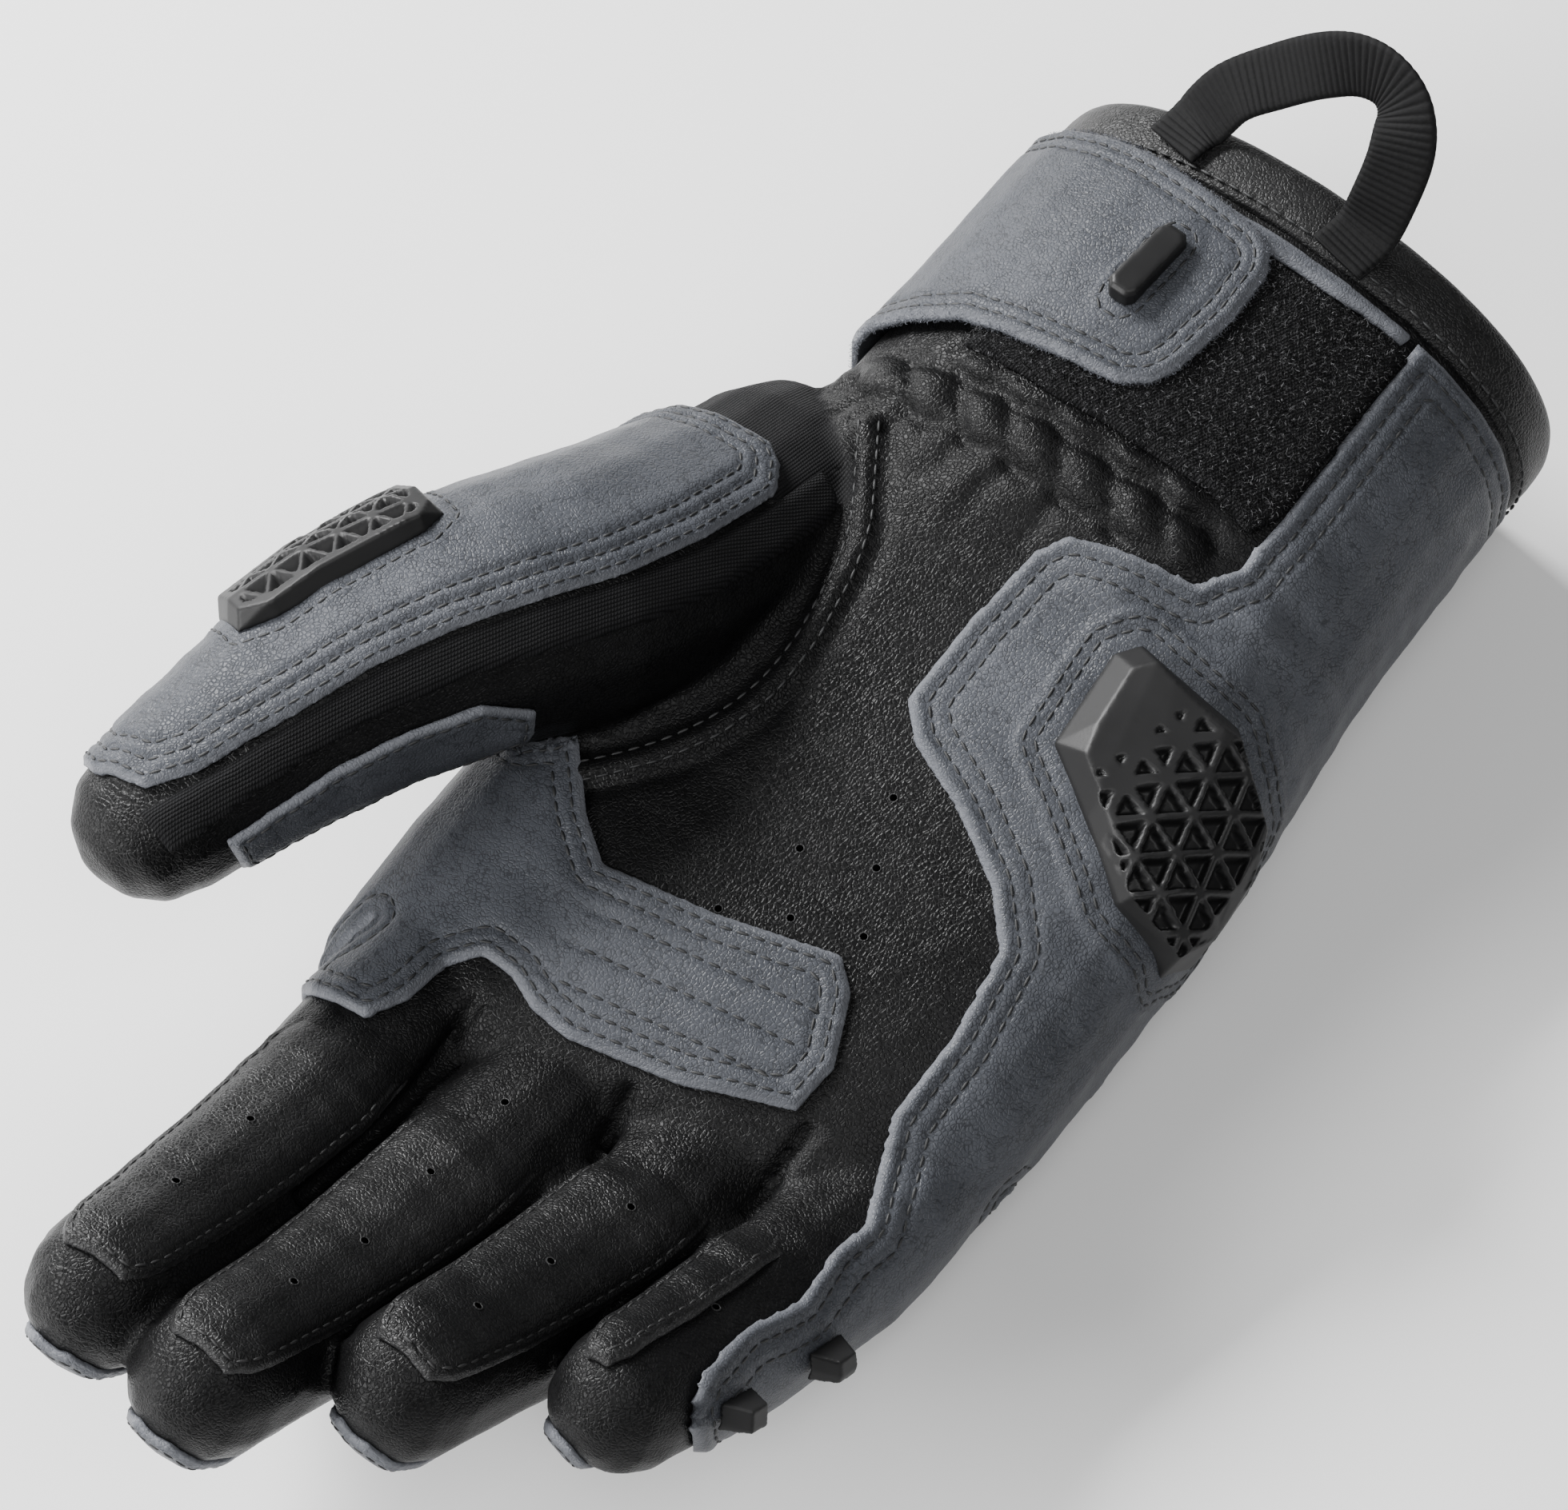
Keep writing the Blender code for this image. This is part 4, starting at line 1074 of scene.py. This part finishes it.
guardStyle = {"name": "thumbGuard", "voxel": 0.36, "hull": True, "finish": "rubber", "slot": "rubber",
              "evening": 2, "cell": 5.6 * mm, "rib": 0.40 * mm, "depth": 1.9 * mm,
              "along": (0.45, 0.85, 0.0), "starts": -30 * mm, "reach": 20 * mm, "frame": 1.5 * mm}
guardFacing, guardMiddle = topFace("thumb_guard")
print("guard faces", [round(v, 2) for v in guardFacing])
softSolid("thumb_guard", guardStyle, 1.2 * mm,
          latticeCarve(guardStyle, guardFacing, guardMiddle, "thumb_guard"))
buttonStyle = {"name": "strapButton", "voxel": 0.25, "finish": "rubber", "slot": "rubber", "evening": 2}
softSolid("strap_button", buttonStyle, carve=widened(0.7))
for letter in "ab":
    studStyle = {"name": "littleFingerStud" + letter.upper(), "voxel": 0.3, "finish": "rubber",
                 "slot": "rubber", "evening": 3}
    softSolid("little_finger_stud_" + letter, studStyle)


# Binding round the rim

bindingStyle = {"steps": 460, "around": 26, "stitchUp": 1.5 * mm, "square": 3.2, "wrinkle": 0.12 * mm}
bindingLow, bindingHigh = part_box("cuff_binding")


def rimOutline(steps):
    # the body's outline at the rim, as a smooth closed curve
    points = arrays(frame["nodes"]["palm_shell"].data)[0]
    rim = points[points[:, 1] > palmHigh.y - 0.3 * mm][:, (0, 2)]
    middle = (rim.max(axis=0) + rim.min(axis=0)) / 2
    outline = bmesh.new()
    for x, z in rim:
        for y in (0, 1):
            outline.verts.new((x, y, z))
    bmesh.ops.convex_hull(outline, input=outline.verts)
    corners = np.array([(v.co.x, v.co.z) for v in outline.verts if v.link_faces and v.co.y < 0.5])
    outline.free()
    turn = np.arctan2(corners[:, 1] - middle[1], corners[:, 0] - middle[0])
    loop = corners[np.argsort(turn)]
    loop = np.concatenate([loop, loop[:1]])
    run = np.concatenate([[0], np.cumsum(np.linalg.norm(np.diff(loop, axis=0), axis=1))])
    places = np.linspace(0, run[-1], steps, endpoint=False)
    path = np.column_stack([np.interp(places, run, loop[:, k]) for k in range(2)])
    return smoothLine(path, True, 130)


def makeBinding(style):
    path = rimOutline(style["steps"])
    ahead = np.roll(path, -1, 0) - np.roll(path, 1, 0)
    ahead /= np.linalg.norm(ahead, axis=1)[:, None]
    out = np.column_stack([ahead[:, 1], -ahead[:, 0]])
    far = (bindingHigh.x - bindingLow.x) / 2 - (path[:, 0].max() - path[:, 0].min()) / 2
    near = -3.2 * mm
    centre, half = (far + near) / 2, (far - near) / 2
    rise = (bindingHigh.y - bindingLow.y) / 2
    level = (bindingHigh.y + bindingLow.y) / 2
    mesh = bmesh.new()
    rings = []
    for k in range(style["steps"]):
        ring = []
        for j in range(style["around"]):
            angle = tau * j / style["around"]
            c, n = cos(angle), sin(angle)
            power = 2 / style["square"]
            over = centre + half * np.sign(c) * abs(c) ** power
            y = level + rise * np.sign(n) * abs(n) ** power
            groove = 0.3 * mm * float(hill(y - bindingLow.y - style["stitchUp"], 0.5 * mm)) * (c > 0.3)
            x, z = path[k] + out[k] * (over - groove)
            wave = noise.noise(Vector((x * 160, y * 420, z * 160))) * style["wrinkle"]
            ring.append(mesh.verts.new((x + out[k][0] * wave, y, max(z + out[k][1] * wave, 0.05 * mm))))
        rings.append(ring)
    joinRings(mesh, rings + rings[:1])
    bmesh.ops.recalc_face_normals(mesh, faces=mesh.faces)
    data = bpy.data.meshes.new("cuffBinding")
    mesh.to_mesh(data)
    mesh.free()
    row = path + out * (far + 0.02 * mm)
    stitches = np.column_stack([row[:, 0], np.full(len(row), bindingLow.y + style["stitchUp"]), row[:, 1]])
    above = np.where(row[:, 1] > 3 * mm)[0]
    start = above[np.argmax(np.diff(np.concatenate([above, above[:1] + len(row)])))] + 1
    turned = np.roll(stitches, -start, axis=0)
    sewn("cuff", [(turned[turned[:, 2] > 3 * mm], False)])
    return linked("cuffBinding", data)


binding = makeBinding(bindingStyle)
addValue(binding.data, "edge", np.full(len(binding.data.vertices), 20.0))
finish(binding, finishes["blackHide"], "black_leather", "cuff_binding")

# Seam round the thumb's base
for offset in (-1.5 * mm, 1.5 * mm):
    sewn("thumb", [(onTop(skinTree, skinStyle["seamRoute"], offset), False)])


# Pull loop of ribbed webbing

loopStyle = {
    "width": 10 * mm, "thickness": 1.15 * mm, "ribPitch": 1.1 * mm, "ribDepth": 0.24 * mm,
    "cuffHeight": 60 * mm,
    # place as shares of the palm's width, the body's length and the cuff's height, and the way of its width
    "rows": (
        ((-0.235, -0.614, 0.945), (1.0, 0.00, 0.26)), ((-0.222, -0.645, 0.966), (1.0, 0.00, 0.24)),
        ((-0.195, -0.668, 1.055), (0.95, -0.25, 0.05)), ((-0.145, -0.690, 1.125), (0.75, -0.55, -0.35)),
        ((-0.085, -0.704, 1.215), (0.35, -0.55, -0.75)), ((-0.030, -0.712, 1.270), (0.05, -0.40, -0.92)),
        ((0.025, -0.710, 1.290), (-0.10, -0.35, -0.93)), ((0.070, -0.698, 1.265), (-0.45, -0.45, -0.77)),
        ((0.096, -0.676, 1.195), (-0.80, -0.50, -0.33)), ((0.104, -0.650, 1.105), (-0.98, -0.20, 0.00)),
        ((0.100, -0.630, 1.012), (-1.0, 0.00, 0.06)), ((0.090, -0.598, 0.998), (-1.0, 0.00, 0.06)),
    ),
}


def curvePoint(rows, t):
    # a smooth curve through the rows
    spot = min(max(t, 0.0), 1.0) * (len(rows) - 1)
    i = min(int(spot), len(rows) - 2)
    f = spot - i
    a, b, c, d = (rows[min(max(i + k, 0), len(rows) - 1)] for k in (-1, 0, 1, 2))
    return 0.5 * ((2 * b) + (c - a) * f + (2 * a - 5 * b + 4 * c - d) * f * f
                  + (3 * b - a - 3 * c + d) * f ** 3)


def makeLoop(style):
    spots = []
    for (x, y, z), _ in style["rows"]:
        at = plan(x, glove["rimAlong"] + y)
        spots.append(np.array((at.x, at.y, z * style["cuffHeight"])))
    ways = [np.array(way) for _, way in style["rows"]]
    dense = [curvePoint(spots, k / 400) for k in range(401)]
    length = lineLength(np.array(dense))
    count = int(length / (style["ribPitch"] / 6))
    run = np.concatenate([[0], np.cumsum(np.linalg.norm(np.diff(np.array(dense), axis=0), axis=1))])
    places = np.interp(np.linspace(0, length, count), run, np.linspace(0, 1, 401))
    mesh = bmesh.new()
    columns = 12
    rings = []
    for k, t in enumerate(places):
        centre = curvePoint(spots, t)
        path = curvePoint(spots, min(t + 0.004, 1)) - curvePoint(spots, max(t - 0.004, 0))
        path /= np.linalg.norm(path)
        wide = curvePoint(ways, t)
        wide = wide - path * (wide @ path)
        wide /= np.linalg.norm(wide)
        thick = np.cross(path, wide)
        along = k / count * length
        swell = abs(sin(pi * along / style["ribPitch"])) ** 0.7 * style["ribDepth"]
        ring = []
        for c in range(columns * 2):
            side = 1 if c < columns else -1
            u = side * ((c % columns) / (columns - 1) * 2 - 1)
            rise = side * (style["thickness"] / 2 - style["ribDepth"] + swell) * (1 - 0.45 * abs(u) ** 10)
            ring.append(mesh.verts.new(centre + wide * (u * style["width"] / 2) + thick * rise))
        rings.append(ring)
    joinRings(mesh, rings)
    mesh.faces.new(list(reversed(rings[0])))
    mesh.faces.new(rings[-1])
    bmesh.ops.recalc_face_normals(mesh, faces=mesh.faces)
    data = bpy.data.meshes.new("pullLoop")
    mesh.to_mesh(data)
    mesh.free()
    return linked("pullLoop", data)


def webbingMaterial():
    made, tree, shader, coords = startMaterial("ribbedWebbing", 0.78)
    fibres = noiseNode(tree, coords, 1800.0, 3.0, 0.6)
    shade = mixColour(tree, fibres.outputs["Fac"], (0.0015, 0.0015, 0.0015), (0.008, 0.008, 0.0085))
    tree.links.new(shade, shader.inputs["Base Color"])
    shader.inputs["Specular IOR Level"].default_value = 0.15
    addBump(tree, shader, fibres.outputs["Fac"], 0.5, 0.00015)
    return made


finishes["webbing"] = webbingMaterial()
loop = makeLoop(loopStyle)
finish(loop, finishes["webbing"], "webbing", "pull_loop")
print("pull loop ready")


# Geometry Nodes that lay stitches along lines

def nodeTree(name, inputs):
    tree = bpy.data.node_groups.new(name, "GeometryNodeTree")
    tree.interface.new_socket("Geometry", in_out="INPUT", socket_type="NodeSocketGeometry")
    tree.interface.new_socket("Geometry", in_out="OUTPUT", socket_type="NodeSocketGeometry")
    for label, kind, value in inputs:
        made = tree.interface.new_socket(label, in_out="INPUT", socket_type=kind)
        if value is not None:
            made.default_value = value
    return tree, tree.nodes.new("NodeGroupInput"), tree.nodes.new("NodeGroupOutput")


def laidOn(tree, points, instance, rotation, scale):
    place = add(tree, "GeometryNodeInstanceOnPoints",
                {"Points": points, "Instance": instance, "Rotation": rotation, "Scale": scale})
    return add(tree, "GeometryNodeRealizeInstances", {0: place.outputs["Instances"]}).outputs[0]


def painted(tree, geometry, material, target):
    paint = add(tree, "GeometryNodeSetMaterial", {"Geometry": geometry, "Material": material})
    tree.links.new(paint.outputs["Geometry"], target.inputs[0])


def stitchTree():
    tree, source, target = nodeTree("stitchRow", [
        ("Spacing", "NodeSocketFloat", 2.6 * mm), ("Length", "NodeSocketFloat", 1.9 * mm),
        ("Radius", "NodeSocketFloat", 0.27 * mm), ("Thread", "NodeSocketMaterial", None)])
    given = source.outputs
    points = add(tree, "GeometryNodeCurveToPoints",
                 {"Curve": given["Geometry"], "Length": given["Spacing"]}, mode="LENGTH").outputs
    aim = add(tree, "FunctionNodeAlignRotationToVector", {"Vector": points["Tangent"]}, axis="Z")
    bead = add(tree, "GeometryNodeMeshUVSphere", {"Segments": 6, "Rings": 5, "Radius": 1.0})
    half = mathNode(tree, "MULTIPLY", given["Length"], 0.5)
    size = add(tree, "ShaderNodeCombineXYZ", {"X": given["Radius"], "Y": given["Radius"], "Z": half})
    real = laidOn(tree, points["Points"], bead.outputs["Mesh"], aim.outputs["Rotation"], size.outputs[0])
    painted(tree, real, given["Thread"], target)
    return tree


def setInput(modifier, label, value):
    for item in modifier.node_group.interface.items_tree:
        if item.item_type == "SOCKET" and item.in_out == "INPUT" and item.name == label:
            modifier[item.identifier] = value


def curveFrom(name, lines):
    data = bpy.data.curves.new(name, "CURVE")
    data.dimensions = "3D"
    for line, closed in lines:
        spline = data.splines.new("POLY")
        spline.points.add(len(line) - 1)
        flat = np.ones((len(line), 4))
        flat[:, :3] = line
        spline.points.foreach_set("co", flat.astype(np.float32).ravel())
        spline.use_cyclic_u = closed
    return linked(name, data)


stitchRow = stitchTree()


def hairTree():
    tree, source, target = nodeTree("shortFibres", [
        ("Density", "NodeSocketFloat", 1e6), ("Length", "NodeSocketFloat", 1.0 * mm),
        ("Radius", "NodeSocketFloat", 0.05 * mm), ("Lean", "NodeSocketFloat", 1.0),
        ("Seed", "NodeSocketInt", 1), ("Fibre", "NodeSocketMaterial", None)])
    given = source.outputs
    grow = add(tree, "GeometryNodeInputNamedAttribute", {"Name": "grow"}, data_type="FLOAT")
    density = mathNode(tree, "MULTIPLY", grow.outputs["Attribute"], given["Density"])
    points = add(tree, "GeometryNodeDistributePointsOnFaces",
                 {"Mesh": given["Geometry"], "Density": density, "Seed": given["Seed"]}).outputs
    arc = add(tree, "GeometryNodeCurveQuadraticBezier", {
        "Resolution": 2, "Start": (0, 0, 0), "Middle": (0.1, 0.0, 0.75), "End": (0.75, 0.25, 0.55)})
    share = mathNode(tree, "DIVIDE", given["Radius"], given["Length"])
    section = add(tree, "GeometryNodeCurvePrimitiveCircle", {"Resolution": 3, "Radius": share})
    fibre = add(tree, "GeometryNodeCurveToMesh",
                {"Curve": arc.outputs[0], "Profile Curve": section.outputs["Curve"]})
    lean = add(tree, "ShaderNodeCombineXYZ", {"X": given["Lean"], "Y": given["Lean"], "Z": tau}).outputs[0]
    against = add(tree, "ShaderNodeVectorMath", {0: lean, "Scale": -1.0}, operation="SCALE")
    turn = add(tree, "FunctionNodeRandomValue", {"Min": against.outputs[0], "Max": lean},
               data_type="FLOAT_VECTOR")
    twist = add(tree, "FunctionNodeRotateRotation", {
        "Rotation": points["Rotation"], "Rotate By": turn.outputs["Value"]}, rotation_space="LOCAL")
    length = add(tree, "FunctionNodeRandomValue", {2: 0.6, 3: 1.25}, data_type="FLOAT")
    size = mathNode(tree, "MULTIPLY", length.outputs[1], given["Length"])
    real = laidOn(tree, points["Points"], fibre.outputs[0], twist.outputs[0], size)
    painted(tree, real, given["Fibre"], target)
    return tree


shortFibres = hairTree()


def growFibres(name, mesh, grow, slotName, style):
    work = linked("work", mesh.copy())
    addValue(work.data, "grow", grow)
    fibres = work.modifiers.new("fibres", "NODES")
    fibres.node_group = shortFibres
    for label in ("Density", "Length", "Radius", "Lean", "Seed"):
        setInput(fibres, label, style[label])
    setInput(fibres, "Fibre", finishes[style["Fibre"]])
    data = evaluated(work)
    bpy.data.objects.remove(work)
    finish(linked(name, data), finishes[style["Fibre"]], slotName)
    print(name, len(data.polygons), "faces")


def fibreMaterial(name, colour, roughness, dark=0.5):
    made, tree, shader, coords = startMaterial(name, roughness)
    shader.inputs["Specular IOR Level"].default_value = 0.2
    # a noise share brings some fibres up from the dim share to the full colour; on the pile, whose dim share
    # is near black, these pale fibres are painted glints, while on the frayed edges they are random tone
    tint = noiseNode(tree, coords, 1400.0, 2.0)
    lit = remap(tree, tint.outputs["Fac"], 0.5, 0.68)
    shade = mixColour(tree, lit, tuple(c * dark for c in colour), colour)
    tree.links.new(shade, shader.inputs["Base Color"])
    return made


# painted highlight: the pile's pale fibres stand for glints on near-black fibres
finishes["pileFibre"] = fibreMaterial("pileFibre", (0.11, 0.11, 0.115), 0.3, 0.02)
finishes["hideFibre"] = fibreMaterial("hideFibre", (0.19, 0.20, 0.23), 0.7)
pileStyle = {"Density": 4.2e6, "Length": 1.2 * mm, "Radius": 0.05 * mm, "Lean": 1.1, "Seed": 5,
             "Fibre": "pileFibre"}
frayStyle = {"Density": 9.0e6, "Length": 0.55 * mm, "Radius": 0.035 * mm, "Lean": 0.8, "Seed": 9,
             "Fibre": "hideFibre"}


padMesh = laidPanels["loop_pad"][0]
growFibres("padPile", padMesh, (normalsOf(padMesh)[:, 2] > 0.35).astype(float), "pad_fleece", pileStyle)
growFibres("strapFray", strapMesh, ((strapIn < 0.45 * mm) & (strapLevel > 0.15)).astype(float),
           "gray_leather", frayStyle)


def holeTree():
    tree, source, target = nodeTree("perforations", [
        ("Radius", "NodeSocketFloat", 0.6 * mm), ("Rim", "NodeSocketMaterial", None),
        ("ShadeDisc", "NodeSocketMaterial", None)])
    link = tree.links.new
    aim = tree.nodes.new("FunctionNodeAlignRotationToVector")
    aim.axis = "Z"
    up = tree.nodes.new("GeometryNodeInputNamedAttribute")
    up.data_type = "FLOAT_VECTOR"
    up.inputs["Name"].default_value = "away"
    link(up.outputs["Attribute"], aim.inputs["Vector"])
    # painted shade: a thin near-black disc on the surface stands for each hole's inside, as no hole is cut
    disc = tree.nodes.new("GeometryNodeMeshCylinder")
    disc.inputs["Vertices"].default_value = 20
    disc.inputs["Radius"].default_value = 1.0
    disc.inputs["Depth"].default_value = 0.12
    dark = tree.nodes.new("GeometryNodeSetMaterial")
    link(disc.outputs["Mesh"], dark.inputs["Geometry"])
    link(source.outputs["ShadeDisc"], dark.inputs["Material"])
    ring = tree.nodes.new("GeometryNodeCurvePrimitiveCircle")
    ring.inputs["Resolution"].default_value = 20
    ring.inputs["Radius"].default_value = 1.12
    bead = tree.nodes.new("GeometryNodeCurvePrimitiveCircle")
    bead.inputs["Resolution"].default_value = 8
    bead.inputs["Radius"].default_value = 0.22
    lip = tree.nodes.new("GeometryNodeCurveToMesh")
    link(ring.outputs["Curve"], lip.inputs["Curve"])
    link(bead.outputs["Curve"], lip.inputs["Profile Curve"])
    hide = tree.nodes.new("GeometryNodeSetMaterial")
    link(lip.outputs[0], hide.inputs["Geometry"])
    link(source.outputs["Rim"], hide.inputs["Material"])
    both = tree.nodes.new("GeometryNodeJoinGeometry")
    link(dark.outputs["Geometry"], both.inputs[0])
    link(hide.outputs["Geometry"], both.inputs[0])
    place = tree.nodes.new("GeometryNodeInstanceOnPoints")
    link(source.outputs["Geometry"], place.inputs["Points"])
    link(both.outputs[0], place.inputs["Instance"])
    link(aim.outputs["Rotation"], place.inputs["Rotation"])
    link(source.outputs["Radius"], place.inputs["Scale"])
    real = tree.nodes.new("GeometryNodeRealizeInstances")
    link(place.outputs["Instances"], real.inputs[0])
    link(real.outputs[0], target.inputs[0])
    return tree


# painted shade: a near-black finish with no reflection, for the discs that stand for the holes' insides
finishes["pit"] = fibreMaterial("paintedHoleShade", (0.0006, 0.0006, 0.0006), 1.0)
finishes["pit"].node_tree.nodes["Principled BSDF"].inputs["Specular IOR Level"].default_value = 0.0
holeStyle = {
    "radius": 0.58 * mm,
    # places as shares across and along
    "palm": ((0.066, 0.638), (0.002, 0.716), (0.111, 0.693), (-0.035, 0.797), (0.059, 0.769), (0.161, 0.746)),
    "index": ((-0.318, 1.189), (-0.304, 1.280)),
    "middle": ((-0.092, 1.032), (-0.086, 1.126), (-0.068, 1.215), (-0.080, 1.287)),
    "ring": ((0.162, 1.047), (0.146, 1.134), (0.135, 1.212)),
    "little": ((0.338, 0.989), (0.368, 1.084)),
}
holeSpots, holeAways = [], []
for place in ("palm", "index", "middle", "ring", "little"):
    cover = skinTree if place == "palm" else treeOf(*laidPanels[place + "_front"][1:3])
    for spot in holeStyle[place]:
        at = plan(*spot)
        for tree in (cover, skinTree):
            point, away, _, _ = tree.ray_cast(Vector((at.x, at.y, 0.2)), Vector((0, 0, -1)))
            if point is not None:
                holeSpots.append(point)
                holeAways.append(away)
                break
holeMesh = bpy.data.meshes.new("holes")
holeMesh.from_pydata([tuple(p) for p in holeSpots], [], [])
away = holeMesh.attributes.new("away", "FLOAT_VECTOR", "POINT")
away.data.foreach_set("vector", np.array(holeAways, np.float32).ravel())
holeWork = linked("holeWork", holeMesh)
holes = holeWork.modifiers.new("holes", "NODES")
holes.node_group = holeTree()
setInput(holes, "Radius", holeStyle["radius"])
setInput(holes, "Rim", finishes["blackHide"])
setInput(holes, "ShadeDisc", finishes["pit"])
holeData = evaluated(holeWork)
bpy.data.objects.remove(holeWork)
perforations = linked("perforations", holeData)
perforations.data.shade_smooth()
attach(perforations, "root")
print("perforations", len(holeSpots))

stitchStyle = {
    "palm": {"Spacing": 2.55 * mm, "Length": 2.0 * mm, "Radius": 0.27 * mm, "Thread": "thread"},
    "cuff": {"Spacing": 2.6 * mm, "Length": 2.05 * mm, "Radius": 0.27 * mm, "Thread": "thread"},
    "thumb": {"Spacing": 2.5 * mm, "Length": 1.9 * mm, "Radius": 0.26 * mm, "Thread": "thread"},
    "fingers": {"Spacing": 2.4 * mm, "Length": 1.8 * mm, "Radius": 0.25 * mm, "Thread": "blackThread"},
}
for group, lines in stitchLines.items():
    style = stitchStyle[group]
    run = curveFrom("run", lines)
    rows = run.modifiers.new("rows", "NODES")
    rows.node_group = stitchRow
    for label in ("Spacing", "Length", "Radius"):
        setInput(rows, label, style[label])
    setInput(rows, "Thread", finishes[style["Thread"]])
    data = evaluated(run)
    bpy.data.objects.remove(run)
    stitches = linked(group + "Stitches", data)
    finish(stitches, finishes[style["Thread"]], "black_leather" if group == "fingers" else "gray_leather")
    print(stitches.name, len(data.polygons), "faces")


total = sum(len(o.data.loop_triangles) for o in bpy.context.scene.objects
            if o.type == "MESH" and not o.hide_render and not o.data.calc_loop_triangles())
print("triangles in all:", total)

# Floor, light and camera

def area(name, spot, aim, size, power):
    lamp = bpy.data.lights.new(name, "AREA")
    lamp.shape = "RECTANGLE"
    lamp.size, lamp.size_y = size
    lamp.energy = power
    made = linked(name, lamp)
    made.location = spot
    made.rotation_euler = (Vector(aim) - Vector(spot)).to_track_quat("-Z", "Y").to_euler()


floorMesh = bpy.data.meshes.new("floor")
floorMesh.from_pydata([(-3, -3, 0), (3, -3, 0), (3, 3, 0), (-3, 3, 0)], [], [(0, 1, 2, 3)])
floor = linked("floor", floorMesh)
floorMaterial, floorTree, floorShader, floorCoords = startMaterial("paleFloor", 0.85)
floorShader.inputs["Base Color"].default_value = (0.86, 0.86, 0.86, 1)
floorMesh.materials.append(floorMaterial)

area("keyLight", (-0.82, 0.14, 0.58), (0, 0, 0.03), (0.4, 0.3), 27)
area("sideLight", (-0.45, -0.80, 0.50), (0, 0, 0.03), (0.5, 0.3), 14)
area("topLight", (0.50, -0.25, 1.15), (0, 0, 0), (0.8, 0.8), 9)
world = bpy.data.worlds.new("studio")
world.use_nodes = True
world.node_tree.nodes["Background"].inputs["Color"].default_value = (1, 1, 1, 1)
world.node_tree.nodes["Background"].inputs["Strength"].default_value = 0.2
bpy.context.scene.world = world

cameraStyle = {"azimuth": 38.2, "elevation": 62.0, "distance": 0.850, "focal": 8.5 * 850, "imageWidth": 1960}
azimuth, elevation = radians(cameraStyle["azimuth"]), radians(cameraStyle["elevation"])
back = Vector((sin(azimuth) * cos(elevation), -cos(azimuth) * cos(elevation), sin(elevation)))
target = Vector((middleX - 12 * mm, middleY, 35 * mm))
lens = bpy.data.cameras.new("photoView")
lens.sensor_width = 36
lens.lens = cameraStyle["focal"] / cameraStyle["imageWidth"] * 36
lens.clip_start = 0.01
camera = bpy.data.objects.new("photoView", lens)
camera.location = target + back * cameraStyle["distance"]
camera.rotation_euler = (-back).to_track_quat("-Z", "Y").to_euler()
bpy.context.scene.collection.objects.link(camera)
bpy.context.scene.camera = camera

print("scene ready")
